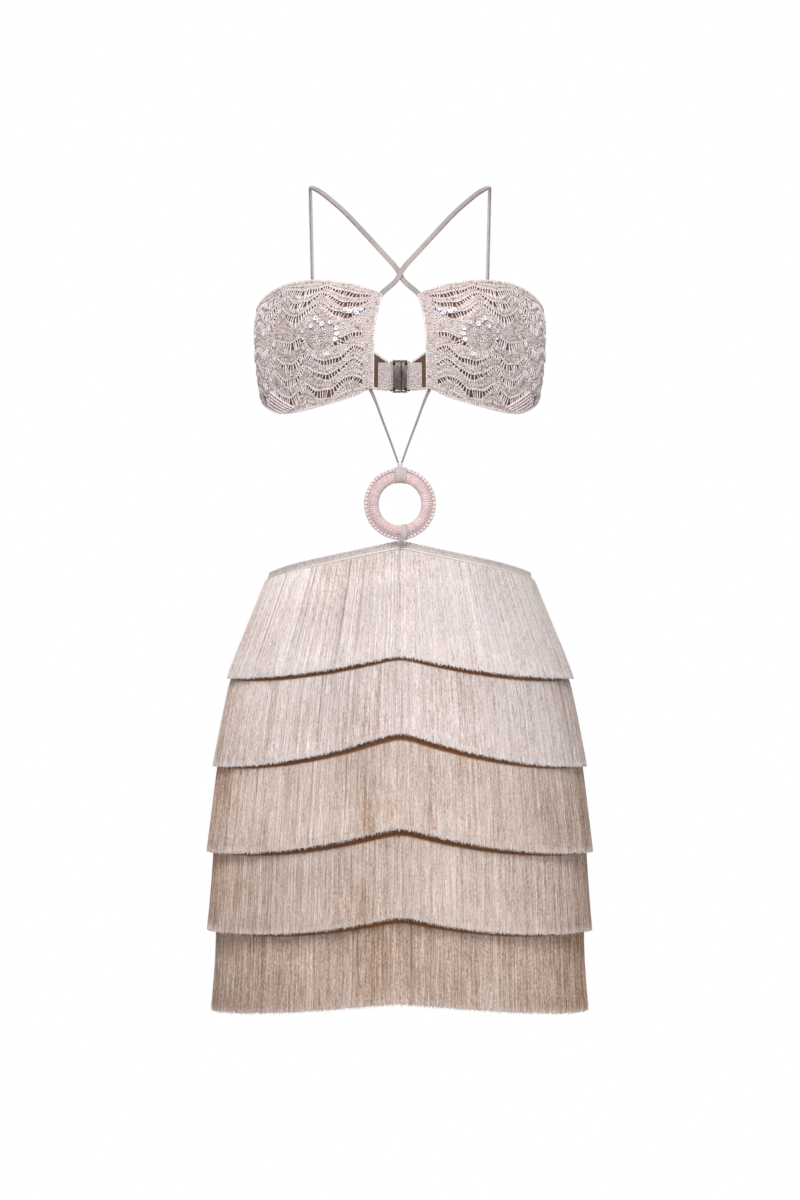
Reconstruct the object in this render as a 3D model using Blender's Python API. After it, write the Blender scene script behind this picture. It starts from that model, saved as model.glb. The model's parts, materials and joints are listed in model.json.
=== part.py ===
"""A crochet two-part mini dress as it is worn: lined crochet cups with crossed straps,
a covered ring on two cords, and a skirt of five fringe tiers.

The front faces -Y and +X is the wearer's left.  The origin lies between the shoulders,
where the wearer carries the straps.  Sizes and tables are in millimetres, and the meshes
are made in metres.  Nothing of the wearer is modelled: the cloth stands on a general
figure whose sections are given below.
"""

import math

import bmesh
import bpy
from mathutils import Matrix, Vector

MM = 0.001
GAP = 0.3  # between pieces that touch on the real dress

# The figure under the skirt.
# height, half_width, front_depth, back_depth
HIPS = (
    (-830, 178.0, 120.5, 123.0),
    (-760, 179.0, 122.0, 126.0),
    (-680, 182.0, 124.0, 130.0),
    (-600, 180.0, 122.5, 132.0),
    (-540, 173.5, 119.0, 130.0),
    (-490, 164.5, 113.0, 123.0),
    (-430, 144.5, 103.0, 109.0),
    (-390, 129.5, 94.5, 97.0),
    (-350, 117.0, 88.0, 91.0),
)

# The figure under the top, without the fullness of the cups.
# height, half_width, front_depth, back_depth
CHEST = (
    (-235, 131.5, 90.0, 90.0),
    (-217, 135.6, 92.5, 92.0),
    (-200, 138.9, 94.0, 93.5),
    (-180, 141.7, 95.0, 94.0),
    (-160, 143.0, 95.0, 94.0),
    (-140, 143.1, 94.0, 93.5),
    (-122, 141.3, 91.5, 92.5),
    (-95, 136.5, 87.0, 90.0),
)
CUP_CENTRE_X, CUP_CENTRE_Z = 70.0, -158.0
CUP_SPREAD_X, CUP_SPREAD_Z = 30.0, 34.0
CUP_DEPTH = 25.0

# The top's upper and lower edges, round the figure from centre front to centre back.
# turn_in_degrees, upper_edge, lower_edge
TOP_EDGES = (
    (0, -117.0, -199.5),
    (7, -114.3, -203.0),
    (12, -110.0, -206.5),
    (22, -103.6, -215.0),
    (38, -100.0, -223.5),
    (52, -101.6, -227.8),
    (64, -107.6, -227.0),
    (76, -116.2, -221.5),
    (90, -124.0, -215.5),
    (120, -132.0, -208.0),
    (150, -144.5, -200.5),
    (168, -158.5, -196.5),
    (176, -170.5, -198.0),
    (180, -172.0, -198.0),
)
KEYHOLE_HALF, KEYHOLE_NECK, KEYHOLE_BEND = 26.2, 17.6, -155.0
KEYHOLE_CORNER = -114.3
STRIP_WIDTH = 11.0
SEAM_TURN = 0.1  # degrees that each piece stops short of a side seam

LINING = (0.0, 1.0)  # offsets from the figure
LACE = (1.3, 3.1)
LINING_INSET = 1.0  # behind the keyhole's edge
WING_END_X = 12.3

# Clasp and folded ends, seen from behind: x from the centre line.
CLASP_TOP, CLASP_BOTTOM, CLASP_BAR = -166.9, -201.1, 3.0
CLASP_PLATE_X, CLASP_SLOT_X, CLASP_OUTER_X = 7.4, 9.0, 10.5
CLASP_MEET, CLASP_MEET_HALF_GAP = 1.3, 0.25
CLASP_Y, CLASP_THICK = 95.3, 2.0
BLOCK_STEP = 0.2  # blocks that join step back from each other by this or a multiple
BAR_LAP, POST_HALF, POST_INSET, POST_RISE = 4.0, 1.1, 0.5, 1.0
TONGUE_X, TONGUE_ROOT_X, TONGUE_INSET = 4.6, 2.4, 8.0
TONGUE_NEAR, TONGUE_FAR, TONGUE_BITE, TONGUE_ROOT = 0.4, 1.4, 0.7, 1.1
TAB_REACH_X, TAB_TURN_X = 22.5, 8.7
TAB_WALL, TAB_CORNER, TAB_CLEAR = 1.0, 0.5, 0.8

# Strap: over the wearer's left shoulder, from the other side's cup to the wing.
# x, y, z
STRAP_ROUTE = (
    (-23.0, -92.2, -120.5),
    (-17.0, -90.0, -112.5),
    (-4.0, -88.4, -101.0),
    (3.4, -86.8, -88.5),
    (18.0, -80.0, -71.6),
    (33.6, -70.0, -53.8),
    (53.5, -53.0, -31.4),
    (69.5, -36.0, -15.8),
    (78.4, -25.0, -8.0),
    (86.0, -13.5, -2.6),
    (89.4, -4.0, -0.6),
    (89.7, 6.0, -2.6),
    (89.8, 15.0, -10.5),
    (89.7, 25.0, -24.0),
    (89.4, 44.0, -52.0),
    (88.9, 60.0, -86.0),
    (88.7, 68.5, -114.0),
    (88.7, 71.6, -138.0),
    (88.7, 71.6, -148.0),
)
STRAP_WIDTH, STRAP_THICK = 5.0, 1.2
STRAP_TURN_Z = -90.0  # above here the strap's face turns upwards, to lie on the shoulder
STRAP_CROSSING = 1.1  # how far the upper strap lies out, and the lower one in, where they cross
STRAP_CROSSING_SPREAD = 13.0

# Ring cord on the wearer's left, from behind the cup's lower corner to the loop.
# x, y, z
CORD_ROUTE = (
    (33.5, -94.9, -199.0),
    (30.0, -93.3, -205.5),
    (26.7, -92.0, -212.0),
    (22.8, -93.0, -221.5),
    (18.6, -94.6, -233.2),
    (8.9, -96.5, -259.2),
    (1.7, -97.0, -279.4),
)
CORD_RADIUS = 1.2
CORD_STEP = 6.0

RING_CENTRE = Vector((0.0, -97.0, -319.3))
RING_MIDDLE, RING_HALF_WIDTH, RING_HALF_DEPTH = 26.0, 5.4, 4.5
RING_SEGMENTS, RING_SIDES = 32, 12
EDGING_INNER, EDGING_OUTER, EDGING_HALF_DEPTH = 31.8, 35.1, 1.0
WRAP_CLEAR, WRAP_WALL = 0.5, 0.9
LOOP_HALF_WIDTH, LOOP_HALF_HEIGHT, LOOP_RADIUS = 1.9, 0.95, 0.6
# name, middle_degrees, half_degrees, measured from the ring's top towards +X
WRAPS = (("ring_wrap_top", 1.0, 13.0), ("ring_wrap_bottom", 171.7, 6.5))

BAND_APEX, BAND_SLOPE_DROP, BAND_CORNER_DROP = -356.4, 26.5, 5.0
BAND_DEPTH = 7.0
BAND = (0.0, 2.6)
BACK_DIP = 4.0  # the back waist lies a little lower than the sides
SKIRT_CLOTH = (0.0, 1.2)
SKIRT_HEM_RISE = 9.0  # the cloth ends above the tips of the lowest fringe
KNOT_HALF = (3.2, 1.4, 2.6)

# Fringe tiers, from the top.
# hem_at_centre, drop_to_side, bend, reach_at_hem
TIERS = (
    (-468.7, 22.7, 1.8, 8.8),
    (-542.6, 35.0, 1.9, 8.4),
    (-634.4, 27.5, 2.0, 10.9),
    (-719.5, 20.0, 2.5, 12.4),
    (-803.9, 16.5, 1.2, 10.2),
)
TIER_COVER = 14.0  # how far a tier hides the next one's heading
TIER_TOP_OUTER, TIER_TOP_WALL, TIER_HEM_WALL = 3.7, 1.9, 3.0
TIER_ROUNDNESS = 1.6
APEX_ROUNDING = 0.06

SKIRT_COLUMNS, SKIRT_ROWS, TIER_ROWS = 16, 6, 3
CUP_COLUMNS, CUP_ROWS = 12, 8
WING_COLUMNS, WING_ROWS = 8, 4

# name: (red, green, blue), roughness, metallic
FINISHES = {
    "crochet": ((0.66, 0.58, 0.54), 0.85, 0.0),
    "lining": ((0.45, 0.36, 0.31), 0.8, 0.0),
    "knit_strap": ((0.50, 0.44, 0.42), 0.8, 0.0),
    "ring_yarn": ((0.72, 0.60, 0.57), 0.75, 0.0),
    "clasp_metal": ((0.20, 0.17, 0.16), 0.35, 1.0),
    "waistband": ((0.62, 0.54, 0.48), 0.8, 0.0),
    "skirt_cloth": ((0.42, 0.32, 0.25), 0.8, 0.0),
    "fringe": ((0.62, 0.50, 0.40), 0.6, 0.0),
}


def read(rows, where, column):
    """A column's value at a place between a table's rows, on a smooth curve through them."""

    def slope(k):
        before = rows[max(k - 1, 0)]
        after = rows[min(k + 1, len(rows) - 1)]
        return (after[column] - before[column]) / (after[0] - before[0])

    where = min(max(where, rows[0][0]), rows[-1][0])
    i = max(k for k in range(len(rows) - 1) if rows[k][0] <= where)
    width = rows[i + 1][0] - rows[i][0]
    t = (where - rows[i][0]) / width
    start, end = rows[i][column], rows[i + 1][column]
    value = (2 * t**3 - 3 * t**2 + 1) * start + (3 * t**2 - 2 * t**3) * end
    value += (t**3 - 2 * t**2 + t) * width * slope(i)
    value += (t**3 - t**2) * width * slope(i + 1)
    return value


def mix(start, end, share):
    return start + (end - start) * share


def figure(rows, turn, height):
    """A point on the figure: turn is in degrees from centre front, towards +X."""
    half_width, front, back = (read(rows, height, column) for column in (1, 2, 3))
    angle = math.radians(turn)
    depth = front if math.cos(angle) > 0 else back
    return Vector((half_width * math.sin(angle), -depth * math.cos(angle), height))


def chest(turn, height):
    """The figure under the top, with the fullness of the cups."""
    point = figure(CHEST, turn, height)
    facing = math.cos(math.radians(turn))
    if facing > 0:
        across = (abs(point.x) - CUP_CENTRE_X) / CUP_SPREAD_X
        up = (height - CUP_CENTRE_Z) / CUP_SPREAD_Z
        fullness = math.exp(-(across**2 + up**2) / 2)
        point.y -= CUP_DEPTH * fullness * facing**0.5
    return point


def hips(turn, height):
    return figure(HIPS, turn, height)


def lifted(surface, turn, height, offset):
    """A point moved out from the figure, square to it."""
    step = 0.5
    along = surface(turn + step, height) - surface(turn - step, height)
    up = surface(turn, height + step) - surface(turn, height - step)
    out = along.cross(up).normalized()
    point = surface(turn, height)
    if out.dot(Vector((point.x, point.y, 0.0))) < 0:
        out = -out
    return point + out * offset


def finish_of(name):
    material = bpy.data.materials.get(name)
    if material:
        return material
    colour, roughness, metallic = FINISHES[name]
    material = bpy.data.materials.new(name)
    material.use_nodes = True
    shader = material.node_tree.nodes["Principled BSDF"]
    shader.inputs["Base Color"].default_value = (*colour, 1.0)
    shader.inputs["Roughness"].default_value = roughness
    shader.inputs["Metallic"].default_value = metallic
    return material


def add_object(name, data, finish, parent):
    """Puts a mesh or curve into the scene under the dress's empty."""
    data.materials.append(finish_of(finish))
    item = bpy.data.objects.new(name, data)
    bpy.context.scene.collection.objects.link(item)
    item.parent = parent
    return item


def add_mesh(name, points, faces, finish, parent):
    """A closed mesh from points in millimetres."""
    work = bmesh.new()
    corners = [work.verts.new(point * MM) for point in points]
    for face in faces:
        work.faces.new([corners[i] for i in face])
    bmesh.ops.recalc_face_normals(work, faces=work.faces)
    mesh = bpy.data.meshes.new(name)
    work.to_mesh(mesh)
    work.free()
    mesh.shade_smooth()
    mesh.set_sharp_from_angle(angle=math.radians(40))
    return add_object(name, mesh, finish, parent)


def wall(name, place, columns, rows, inner, outer, finish, parent):
    """A wall of cloth.  place(u, v, offset) gives a point, with u and v from 0 to 1, and
    inner(v) and outer(v) give the offsets of its two faces.  Every cell is cut along the
    same diagonal, so that walls which lie on each other stay clear."""
    points = []
    for offset in (inner, outer):
        for i in range(columns + 1):
            for j in range(rows + 1):
                u, v = i / columns, j / rows
                points.append(place(u, v, offset(v)))
    face_points = (columns + 1) * (rows + 1)

    def at(i, j, side):
        return side * face_points + i * (rows + 1) + j

    cells = []
    for side in (0, 1):
        for i in range(columns):
            for j in range(rows):
                far = (at(i + 1, j + 1, side), at(i, j + 1, side))
                cells.append((at(i, j, side), at(i + 1, j, side), *far))
    for i in range(columns):
        for j in (0, rows):
            cells.append((at(i, j, 0), at(i + 1, j, 0), at(i + 1, j, 1), at(i, j, 1)))
    for j in range(rows):
        for i in (0, columns):
            cells.append((at(i, j, 0), at(i, j + 1, 0), at(i, j + 1, 1), at(i, j, 1)))
    faces = [half for a, b, c, d in cells for half in ((a, b, c), (a, c, d))]
    return add_mesh(name, points, faces, finish, parent)


def loft(name, rings, closed, finish, parent):
    """A solid through loops of points, joined end to end or capped."""
    count = len(rings[0])
    points = [point for ring in rings for point in ring]
    faces = []
    for i in range(len(rings) if closed else len(rings) - 1):
        for j in range(count):
            here, ahead = i * count, (i + 1) % len(rings) * count
            after = (j + 1) % count
            faces.append((here + j, here + after, ahead + after, ahead + j))
    if not closed:
        last = (len(rings) - 1) * count
        faces.append(tuple(range(count))[::-1])
        faces.append(tuple(range(last, last + count)))
    return add_mesh(name, points, faces, finish, parent)


def faces_of(offsets):
    """The two faces of a wall that is even all over."""
    return (lambda v: offsets[0]), (lambda v: offsets[1])


def smooth_route(route, step):
    """Points about a step apart, on a smooth curve through a route's own points."""
    lengths = [0.0]
    for start, end in zip(route, route[1:]):
        lengths.append(lengths[-1] + (Vector(end) - Vector(start)).length)
    rows = [(length, *point) for length, point in zip(lengths, route)]
    count = max(round(lengths[-1] / step), 1)
    places = [lengths[-1] * i / count for i in range(count + 1)]
    return [Vector([read(rows, place, column) for column in (1, 2, 3)]) for place in places]


def keyhole_x(height):
    """Half the keyhole's width: it narrows towards the cups' upper corners."""
    rise = (height - KEYHOLE_BEND) / (KEYHOLE_CORNER - KEYHOLE_BEND)
    rise = min(max(rise, 0.0), 1.0)
    return mix(KEYHOLE_HALF, KEYHOLE_NECK, rise**1.5)


def turn_at(x, height):
    """The turn at which the figure's front stands x from the centre line."""
    return math.degrees(math.asin(x / read(CHEST, height, 1)))


def cup_place(side, near, far):
    """Places on one cup between two distances from the keyhole's edge.  Without far, it
    runs to the side seam."""

    def place(u, v, offset):
        turn = mix(turn_at(KEYHOLE_HALF, KEYHOLE_BEND), 90.0, u)
        for _ in range(3):
            height = mix(read(TOP_EDGES, turn, 2), read(TOP_EDGES, turn, 1), v)
            start = turn_at(keyhole_x(height) + near, height)
            end = turn_at(keyhole_x(height) + far, height) if far else 90.0 - SEAM_TURN
            turn = mix(start, end, u)
        return lifted(chest, side * turn, height, offset)

    return place


def add_cup(tag, side, parent):
    """The lining has the lace's columns and one more behind the strip, so that their
    facets stay parallel."""
    strip = cup_place(side, 0.0, STRIP_WIDTH - GAP)
    behind_strip = cup_place(side, LINING_INSET, STRIP_WIDTH)
    lace = cup_place(side, STRIP_WIDTH, None)

    def lining(u, v, offset):
        column = u * (CUP_COLUMNS + 1)
        if column < 1.0:
            return behind_strip(column, v, offset)
        return lace((column - 1.0) / CUP_COLUMNS, v, offset)

    wall(f"cup_strip_{tag}", strip, 1, CUP_ROWS, *faces_of(LACE), "crochet", parent)
    wall(f"cup_{tag}", lace, CUP_COLUMNS, CUP_ROWS, *faces_of(LACE), "crochet", parent)
    wall(f"cup_lining_{tag}", lining, CUP_COLUMNS + 1, CUP_ROWS, *faces_of(LINING), "lining", parent)


def add_wing(tag, side, parent):
    def place(u, v, offset):
        height = -180.0
        for _ in range(3):
            end = 180.0 - turn_at(WING_END_X, height)
            turn = mix(90.0 + SEAM_TURN, end, u)
            height = mix(read(TOP_EDGES, turn, 2), read(TOP_EDGES, turn, 1), v)
        return lifted(chest, side * turn, height, offset)

    wall(f"wing_{tag}", place, WING_COLUMNS, WING_ROWS, *faces_of(LACE), "crochet", parent)
    wall(f"wing_lining_{tag}", place, WING_COLUMNS, WING_ROWS, *faces_of(LINING), "lining", parent)


def add_tab(tag, side, parent):
    """The wing's end, folded round the clasp's bar: a long U, seen from above."""
    near = LINING[0] - TAB_CLEAR
    far = LACE[1] + GAP
    low, high = CLASP_BOTTOM + CLASP_BAR + GAP, CLASP_TOP - CLASP_BAR - GAP
    middle = (near + far) / 2
    outline = []
    for wall_out in (TAB_WALL, 0.0):
        half = (far - near) / 2 + wall_out
        turn_x, cut = TAB_TURN_X - wall_out, TAB_CORNER + wall_out / 2
        arc = [(TAB_REACH_X, -half), (TAB_REACH_X * 0.7, -half)]
        arc += [(turn_x + cut, -half), (turn_x, cut - half)]
        arc += [(x, -depth) for x, depth in arc[::-1]]
        outline += arc if wall_out else arc[::-1]
    rings = []
    for height in (low, high):
        ring = []
        for x, depth in outline:
            turn = 180.0 - turn_at(x, height)
            ring.append(lifted(chest, side * turn, height, middle + depth))
        rings.append(ring)
    loft(f"back_tab_{tag}", rings, False, "crochet", parent)


def add_box(name, low, high, parent, hidden):
    low, high = Vector(low), Vector(high)
    columns = [(x, y) for x in (low.x, high.x) for y in (low.y, high.y)]
    points = [Vector((x, y, z)) for x, y in columns for z in (low.z, high.z)]
    faces = ((0, 1, 3, 2), (4, 6, 7, 5), (0, 4, 5, 1), (2, 3, 7, 6), (0, 2, 6, 4), (1, 5, 7, 3))
    box = add_mesh(name, points, faces, "clasp_metal", parent)
    if hidden:
        box.hide_render = True
        box.display_type = "WIRE"
    return box


def join_boxes(name, boxes, parent):
    """One solid from overlapping boxes, each a (low corner, high corner)."""
    whole = add_box(name, *boxes[0], parent, False)
    for i, box in enumerate(boxes[1:]):
        join = whole.modifiers.new(f"join {i}", "BOOLEAN")
        join.operation = "UNION"
        join.object = add_box(f"{name}_block_{i}", *box, parent, True)
    return whole


def add_clasp(parent):
    """Two slotted plates: the right one's tongue lies behind the left one's plate."""
    near, far = CLASP_Y - CLASP_THICK / 2, CLASP_Y + CLASP_THICK / 2
    low_end, high_end = (CLASP_BOTTOM, CLASP_BOTTOM + CLASP_BAR), (CLASP_TOP - CLASP_BAR, CLASP_TOP)
    for tag, side in (("left", -1), ("right", 1)):
        meet = CLASP_MEET + side * CLASP_MEET_HALF_GAP

        def block(x_in, x_out, low, high, front=near, back=far):
            xs = sorted((x_in, x_out))
            return ((xs[0], front, low), (xs[1], back, high))

        plate, outer, slot = side * CLASP_PLATE_X, side * CLASP_OUTER_X, side * CLASP_SLOT_X
        boxes = [block(meet, plate, CLASP_BOTTOM + 3 * BLOCK_STEP, CLASP_TOP - 3 * BLOCK_STEP)]
        thin = (near + BLOCK_STEP / 2, far - BLOCK_STEP / 2)
        boxes.append(block(slot, outer, CLASP_BOTTOM, CLASP_TOP, *thin))
        thin = (near + BLOCK_STEP, far - BLOCK_STEP)
        for low, high in (high_end, low_end):
            ends = (plate - side * BAR_LAP, outer - side * BLOCK_STEP)
            boxes.append(block(*ends, low + BLOCK_STEP, high - BLOCK_STEP, *thin))
            x, z = side * (CLASP_PLATE_X - POST_HALF - POST_INSET), (low + high) / 2
            sizes = (x - POST_HALF, x + POST_HALF, z - POST_HALF, z + POST_HALF)
            boxes.append(block(*sizes, near - POST_RISE, far - POST_INSET))
        if side > 0:
            low, high = CLASP_BOTTOM + TONGUE_INSET, CLASP_TOP - TONGUE_INSET
            boxes.append(block(-TONGUE_X, TONGUE_X, low, high, far + TONGUE_NEAR, far + TONGUE_FAR))
            root = (TONGUE_ROOT_X, TONGUE_X + BLOCK_STEP)
            low, high = low + 2 * BLOCK_STEP, high - 2 * BLOCK_STEP
            boxes.append(block(*root, low, high, far - TONGUE_BITE, far + TONGUE_ROOT))
        join_boxes(f"clasp_{tag}", boxes, parent)


def strap_point(point, side):
    """The straps cross at the keyhole, one clear over the other."""
    out = STRAP_CROSSING * math.exp(-((point.x / STRAP_CROSSING_SPREAD) ** 2))
    return Vector((side * point.x, point.y - side * out, point.z))


def add_strap(tag, side, parent):
    route = [strap_point(point, side) for point in smooth_route(STRAP_ROUTE, 9.0)]
    rings = []
    for i, point in enumerate(route):
        along = (route[min(i + 1, len(route) - 1)] - route[max(i - 1, 0)]).normalized()
        out = point - Vector((0.6 * point.x, 0.0, min(point.z, STRAP_TURN_Z)))
        across = along.cross(out).normalized()
        out = across.cross(along).normalized()
        ring = []
        for u, v in ((-1, -1), (1, -1), (1, 1), (-1, 1)):
            ring.append(point + across * (u * STRAP_WIDTH / 2) + out * (v * STRAP_THICK / 2))
        rings.append(ring)
    loft(f"strap_{tag}", rings, False, "knit_strap", parent)


def add_ring_cord(tag, side, parent):
    data = bpy.data.curves.new(f"ring_cord_{tag}", "CURVE")
    data.dimensions = "3D"
    data.bevel_depth = CORD_RADIUS * MM
    data.bevel_resolution = 2
    data.use_fill_caps = True
    route = smooth_route(CORD_ROUTE, CORD_STEP)
    spline = data.splines.new("POLY")
    spline.points.add(len(route) - 1)
    for target, point in zip(spline.points, route):
        target.co = (side * point.x * MM, point.y * MM, point.z * MM, 1.0)
    add_object(f"ring_cord_{tag}", data, "knit_strap", parent)


def round_ring(middle, half_width, half_depth, sides):
    """A section of the ring, as (distance from the ring's axis, depth)."""
    steps = [math.tau * i / sides for i in range(sides)]
    return [(middle + half_width * math.cos(angle), half_depth * math.sin(angle)) for angle in steps]


def on_ring(degrees, distance, depth):
    """A point by its place round the ring, from the top towards +X."""
    angle = math.radians(degrees)
    return RING_CENTRE + Vector((distance * math.sin(angle), depth, distance * math.cos(angle)))


def swept_ring(section, places):
    return [[on_ring(degrees, *point) for point in section] for degrees in places]


def wrap_section(clear):
    """The outline of the ring with its edging, moved out by clear."""
    section = []
    for degrees in range(60, 301, 30):
        angle = math.radians(degrees)
        distance = RING_MIDDLE + (RING_HALF_WIDTH + clear) * math.cos(angle)
        section.append((distance, (RING_HALF_DEPTH + clear) * math.sin(angle)))
    section.append((EDGING_OUTER + clear, -EDGING_HALF_DEPTH - clear))
    section.append((EDGING_OUTER + clear, EDGING_HALF_DEPTH + clear))
    return section


def add_ring(parent):
    places = [360.0 * i / RING_SEGMENTS for i in range(RING_SEGMENTS)]
    body = round_ring(RING_MIDDLE, RING_HALF_WIDTH, RING_HALF_DEPTH, RING_SIDES)
    loft("ring", swept_ring(body, places), True, "ring_yarn", parent)
    corners = (EDGING_INNER, -1), (EDGING_OUTER, -1), (EDGING_OUTER, 1), (EDGING_INNER, 1)
    edging = [(distance, side * EDGING_HALF_DEPTH) for distance, side in corners]
    loft("ring_edging", swept_ring(edging, places), True, "ring_yarn", parent)
    for name, middle, half in WRAPS:
        places = [middle + half * share for share in (-1.0, -0.33, 0.33, 1.0)]
        outside = swept_ring(wrap_section(WRAP_CLEAR + WRAP_WALL), places)
        inside = swept_ring(wrap_section(WRAP_CLEAR), places)
        loft(name, outside + inside[::-1], True, "knit_strap", parent)


def add_loop(parent):
    """A small oval of cord that stands on the ring's wrapping."""
    top = EDGING_OUTER + WRAP_CLEAR + WRAP_WALL + GAP
    middle = RING_CENTRE + Vector((0.0, 0.0, top + LOOP_HALF_HEIGHT + LOOP_RADIUS))
    rings = []
    for i in range(12):
        angle = math.tau * i / 12
        out = Vector((math.cos(angle), 0.0, math.sin(angle)))
        centre = middle + Vector((LOOP_HALF_WIDTH * out.x, 0.0, LOOP_HALF_HEIGHT * out.z))
        ring = []
        for j in range(6):
            around = math.tau * j / 6
            bulge = out * math.cos(around) + Vector((0.0, math.sin(around), 0.0))
            ring.append(centre + bulge * LOOP_RADIUS)
        rings.append(ring)
    loft("cord_loop", rings, True, "knit_strap", parent)


def sine(turn):
    return abs(math.sin(math.radians(turn)))


def facing_front(turn):
    return math.cos(math.radians(turn)) > 0


def band_top(turn):
    """The waist's upper edge: it falls from the centre front to the sides."""
    share = sine(turn)
    side = BAND_APEX - BAND_SLOPE_DROP - BAND_CORNER_DROP
    if not facing_front(turn):
        return side - BACK_DIP * (1.0 - share)
    slope = math.hypot(share, APEX_ROUNDING) - APEX_ROUNDING
    return BAND_APEX - BAND_SLOPE_DROP * slope - BAND_CORNER_DROP * share**8


def hem(tier, turn):
    """A tier's lower edge: lowest at the sides, and level behind."""
    centre, drop, bend, _ = TIERS[tier]
    if not facing_front(turn):
        return centre - drop
    share = math.hypot(sine(turn), APEX_ROUNDING) - APEX_ROUNDING
    return centre - drop * (1.0 - max(1.0 - share, 0.0) ** bend)


def tier_top(tier, turn):
    if tier == 0:
        return band_top(turn) - BAND_DEPTH - GAP
    return hem(tier - 1, turn) + TIER_COVER


def skirt_place(start, upper, lower):
    """Places on half of the skirt, from start degrees on, between two edges."""

    def place(u, v, offset):
        turn = start + mix(SEAM_TURN, 180.0 - SEAM_TURN, u)
        return lifted(hips, turn, mix(upper(turn), lower(turn), v), offset)

    return place


def add_tier(tier, tag, start, parent):
    reach = TIERS[tier][3]

    def outer(v):
        return mix(TIER_TOP_OUTER, reach, v**TIER_ROUNDNESS)

    def inner(v):
        return outer(v) - mix(TIER_TOP_WALL, TIER_HEM_WALL, v)

    place = skirt_place(start, lambda turn: tier_top(tier, turn), lambda turn: hem(tier, turn))
    wall(f"fringe_{tier + 1}_{tag}", place, SKIRT_COLUMNS, TIER_ROWS, inner, outer, "fringe", parent)


def add_skirt(parent):
    for tag, start in (("front", -90.0), ("back", 90.0)):
        band = skirt_place(start, band_top, lambda turn: band_top(turn) - BAND_DEPTH)
        wall(f"waistband_{tag}", band, SKIRT_COLUMNS, 1, *faces_of(BAND), "waistband", parent)
        top, foot = (lambda turn: tier_top(0, turn)), (lambda turn: hem(-1, turn) + SKIRT_HEM_RISE)
        cloth, size = skirt_place(start, top, foot), (SKIRT_COLUMNS, SKIRT_ROWS)
        wall(f"skirt_{tag}", cloth, *size, *faces_of(SKIRT_CLOTH), "skirt_cloth", parent)
        for tier in range(len(TIERS)):
            add_tier(tier, tag, start, parent)


def add_knot(parent):
    """The stitched knot on the band, just under the ring's lower wrapping."""
    wrap_bottom = RING_CENTRE.z - EDGING_OUTER - WRAP_CLEAR - WRAP_WALL
    centre_z = wrap_bottom - GAP - KNOT_HALF[2]
    band = lifted(hips, 0.0, centre_z, BAND[1] + GAP + KNOT_HALF[1])
    work = bmesh.new()
    bmesh.ops.create_uvsphere(work, u_segments=10, v_segments=6, radius=1.0)
    bmesh.ops.transform(work, matrix=Matrix.Diagonal((*KNOT_HALF, 1.0)), verts=work.verts)
    bmesh.ops.translate(work, vec=Vector((1.0, band.y, centre_z)), verts=work.verts)
    bmesh.ops.scale(work, vec=Vector((MM, MM, MM)), verts=work.verts)
    mesh = bpy.data.meshes.new("apex_knot")
    work.to_mesh(mesh)
    work.free()
    mesh.shade_smooth()
    add_object("apex_knot", mesh, "knit_strap", parent)


def main():
    for item in list(bpy.data.objects):
        bpy.data.objects.remove(item)
    dress = bpy.data.objects.new("dress", None)
    bpy.context.scene.collection.objects.link(dress)
    for tag, side in (("left", -1), ("right", 1)):
        add_cup(tag, side, dress)
        add_wing(tag, side, dress)
        add_tab(tag, side, dress)
        add_strap(tag, side, dress)
        add_ring_cord(tag, side, dress)
    add_clasp(dress)
    add_loop(dress)
    add_ring(dress)
    add_knot(dress)
    add_skirt(dress)


main()
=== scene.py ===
# %% [markdown]
# # A crochet mini dress in the studio
# The dress has three parts: lined crochet cups with crossed straps, a covered ring on two
# cords, and a skirt of five fringe tiers.  The solids loaded here hold their sizes.  The cells
# below set the camera, shape the figure that the cloth stands on, and then make the pieces.

# %% The fixed frame
import json
import math

import bmesh
import bpy
import numpy as np
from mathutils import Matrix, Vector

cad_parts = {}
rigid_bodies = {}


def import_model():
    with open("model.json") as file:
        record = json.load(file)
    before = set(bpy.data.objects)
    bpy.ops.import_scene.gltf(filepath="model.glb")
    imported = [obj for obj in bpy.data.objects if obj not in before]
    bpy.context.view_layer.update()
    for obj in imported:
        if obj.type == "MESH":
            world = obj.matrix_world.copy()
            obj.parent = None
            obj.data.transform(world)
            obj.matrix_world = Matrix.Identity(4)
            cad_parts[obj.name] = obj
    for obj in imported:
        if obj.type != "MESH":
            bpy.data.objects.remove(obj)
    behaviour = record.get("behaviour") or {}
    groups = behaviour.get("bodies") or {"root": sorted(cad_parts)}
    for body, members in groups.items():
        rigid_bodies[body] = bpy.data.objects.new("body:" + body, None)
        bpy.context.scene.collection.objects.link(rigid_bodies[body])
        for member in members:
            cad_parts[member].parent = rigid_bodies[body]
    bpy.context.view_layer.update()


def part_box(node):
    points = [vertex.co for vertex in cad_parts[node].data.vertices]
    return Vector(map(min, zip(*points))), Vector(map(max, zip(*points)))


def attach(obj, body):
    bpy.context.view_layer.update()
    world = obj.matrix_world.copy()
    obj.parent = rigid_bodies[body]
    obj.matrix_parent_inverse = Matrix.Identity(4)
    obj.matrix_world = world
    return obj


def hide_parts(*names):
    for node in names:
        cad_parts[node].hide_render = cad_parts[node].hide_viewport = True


for item in list(bpy.data.objects):
    bpy.data.objects.remove(item)
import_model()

# %% [markdown]
# ## Camera
# The dress is seen square from the front, from a few metres away.  A long lens at half the
# dress's height keeps the tiers' hems from bending.

# %% Camera
CAMERA_PLACE = (0.0, -4.0, -0.413)
CAMERA_LENS = 120.0
CAMERA_REACH = 100.0


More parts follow.
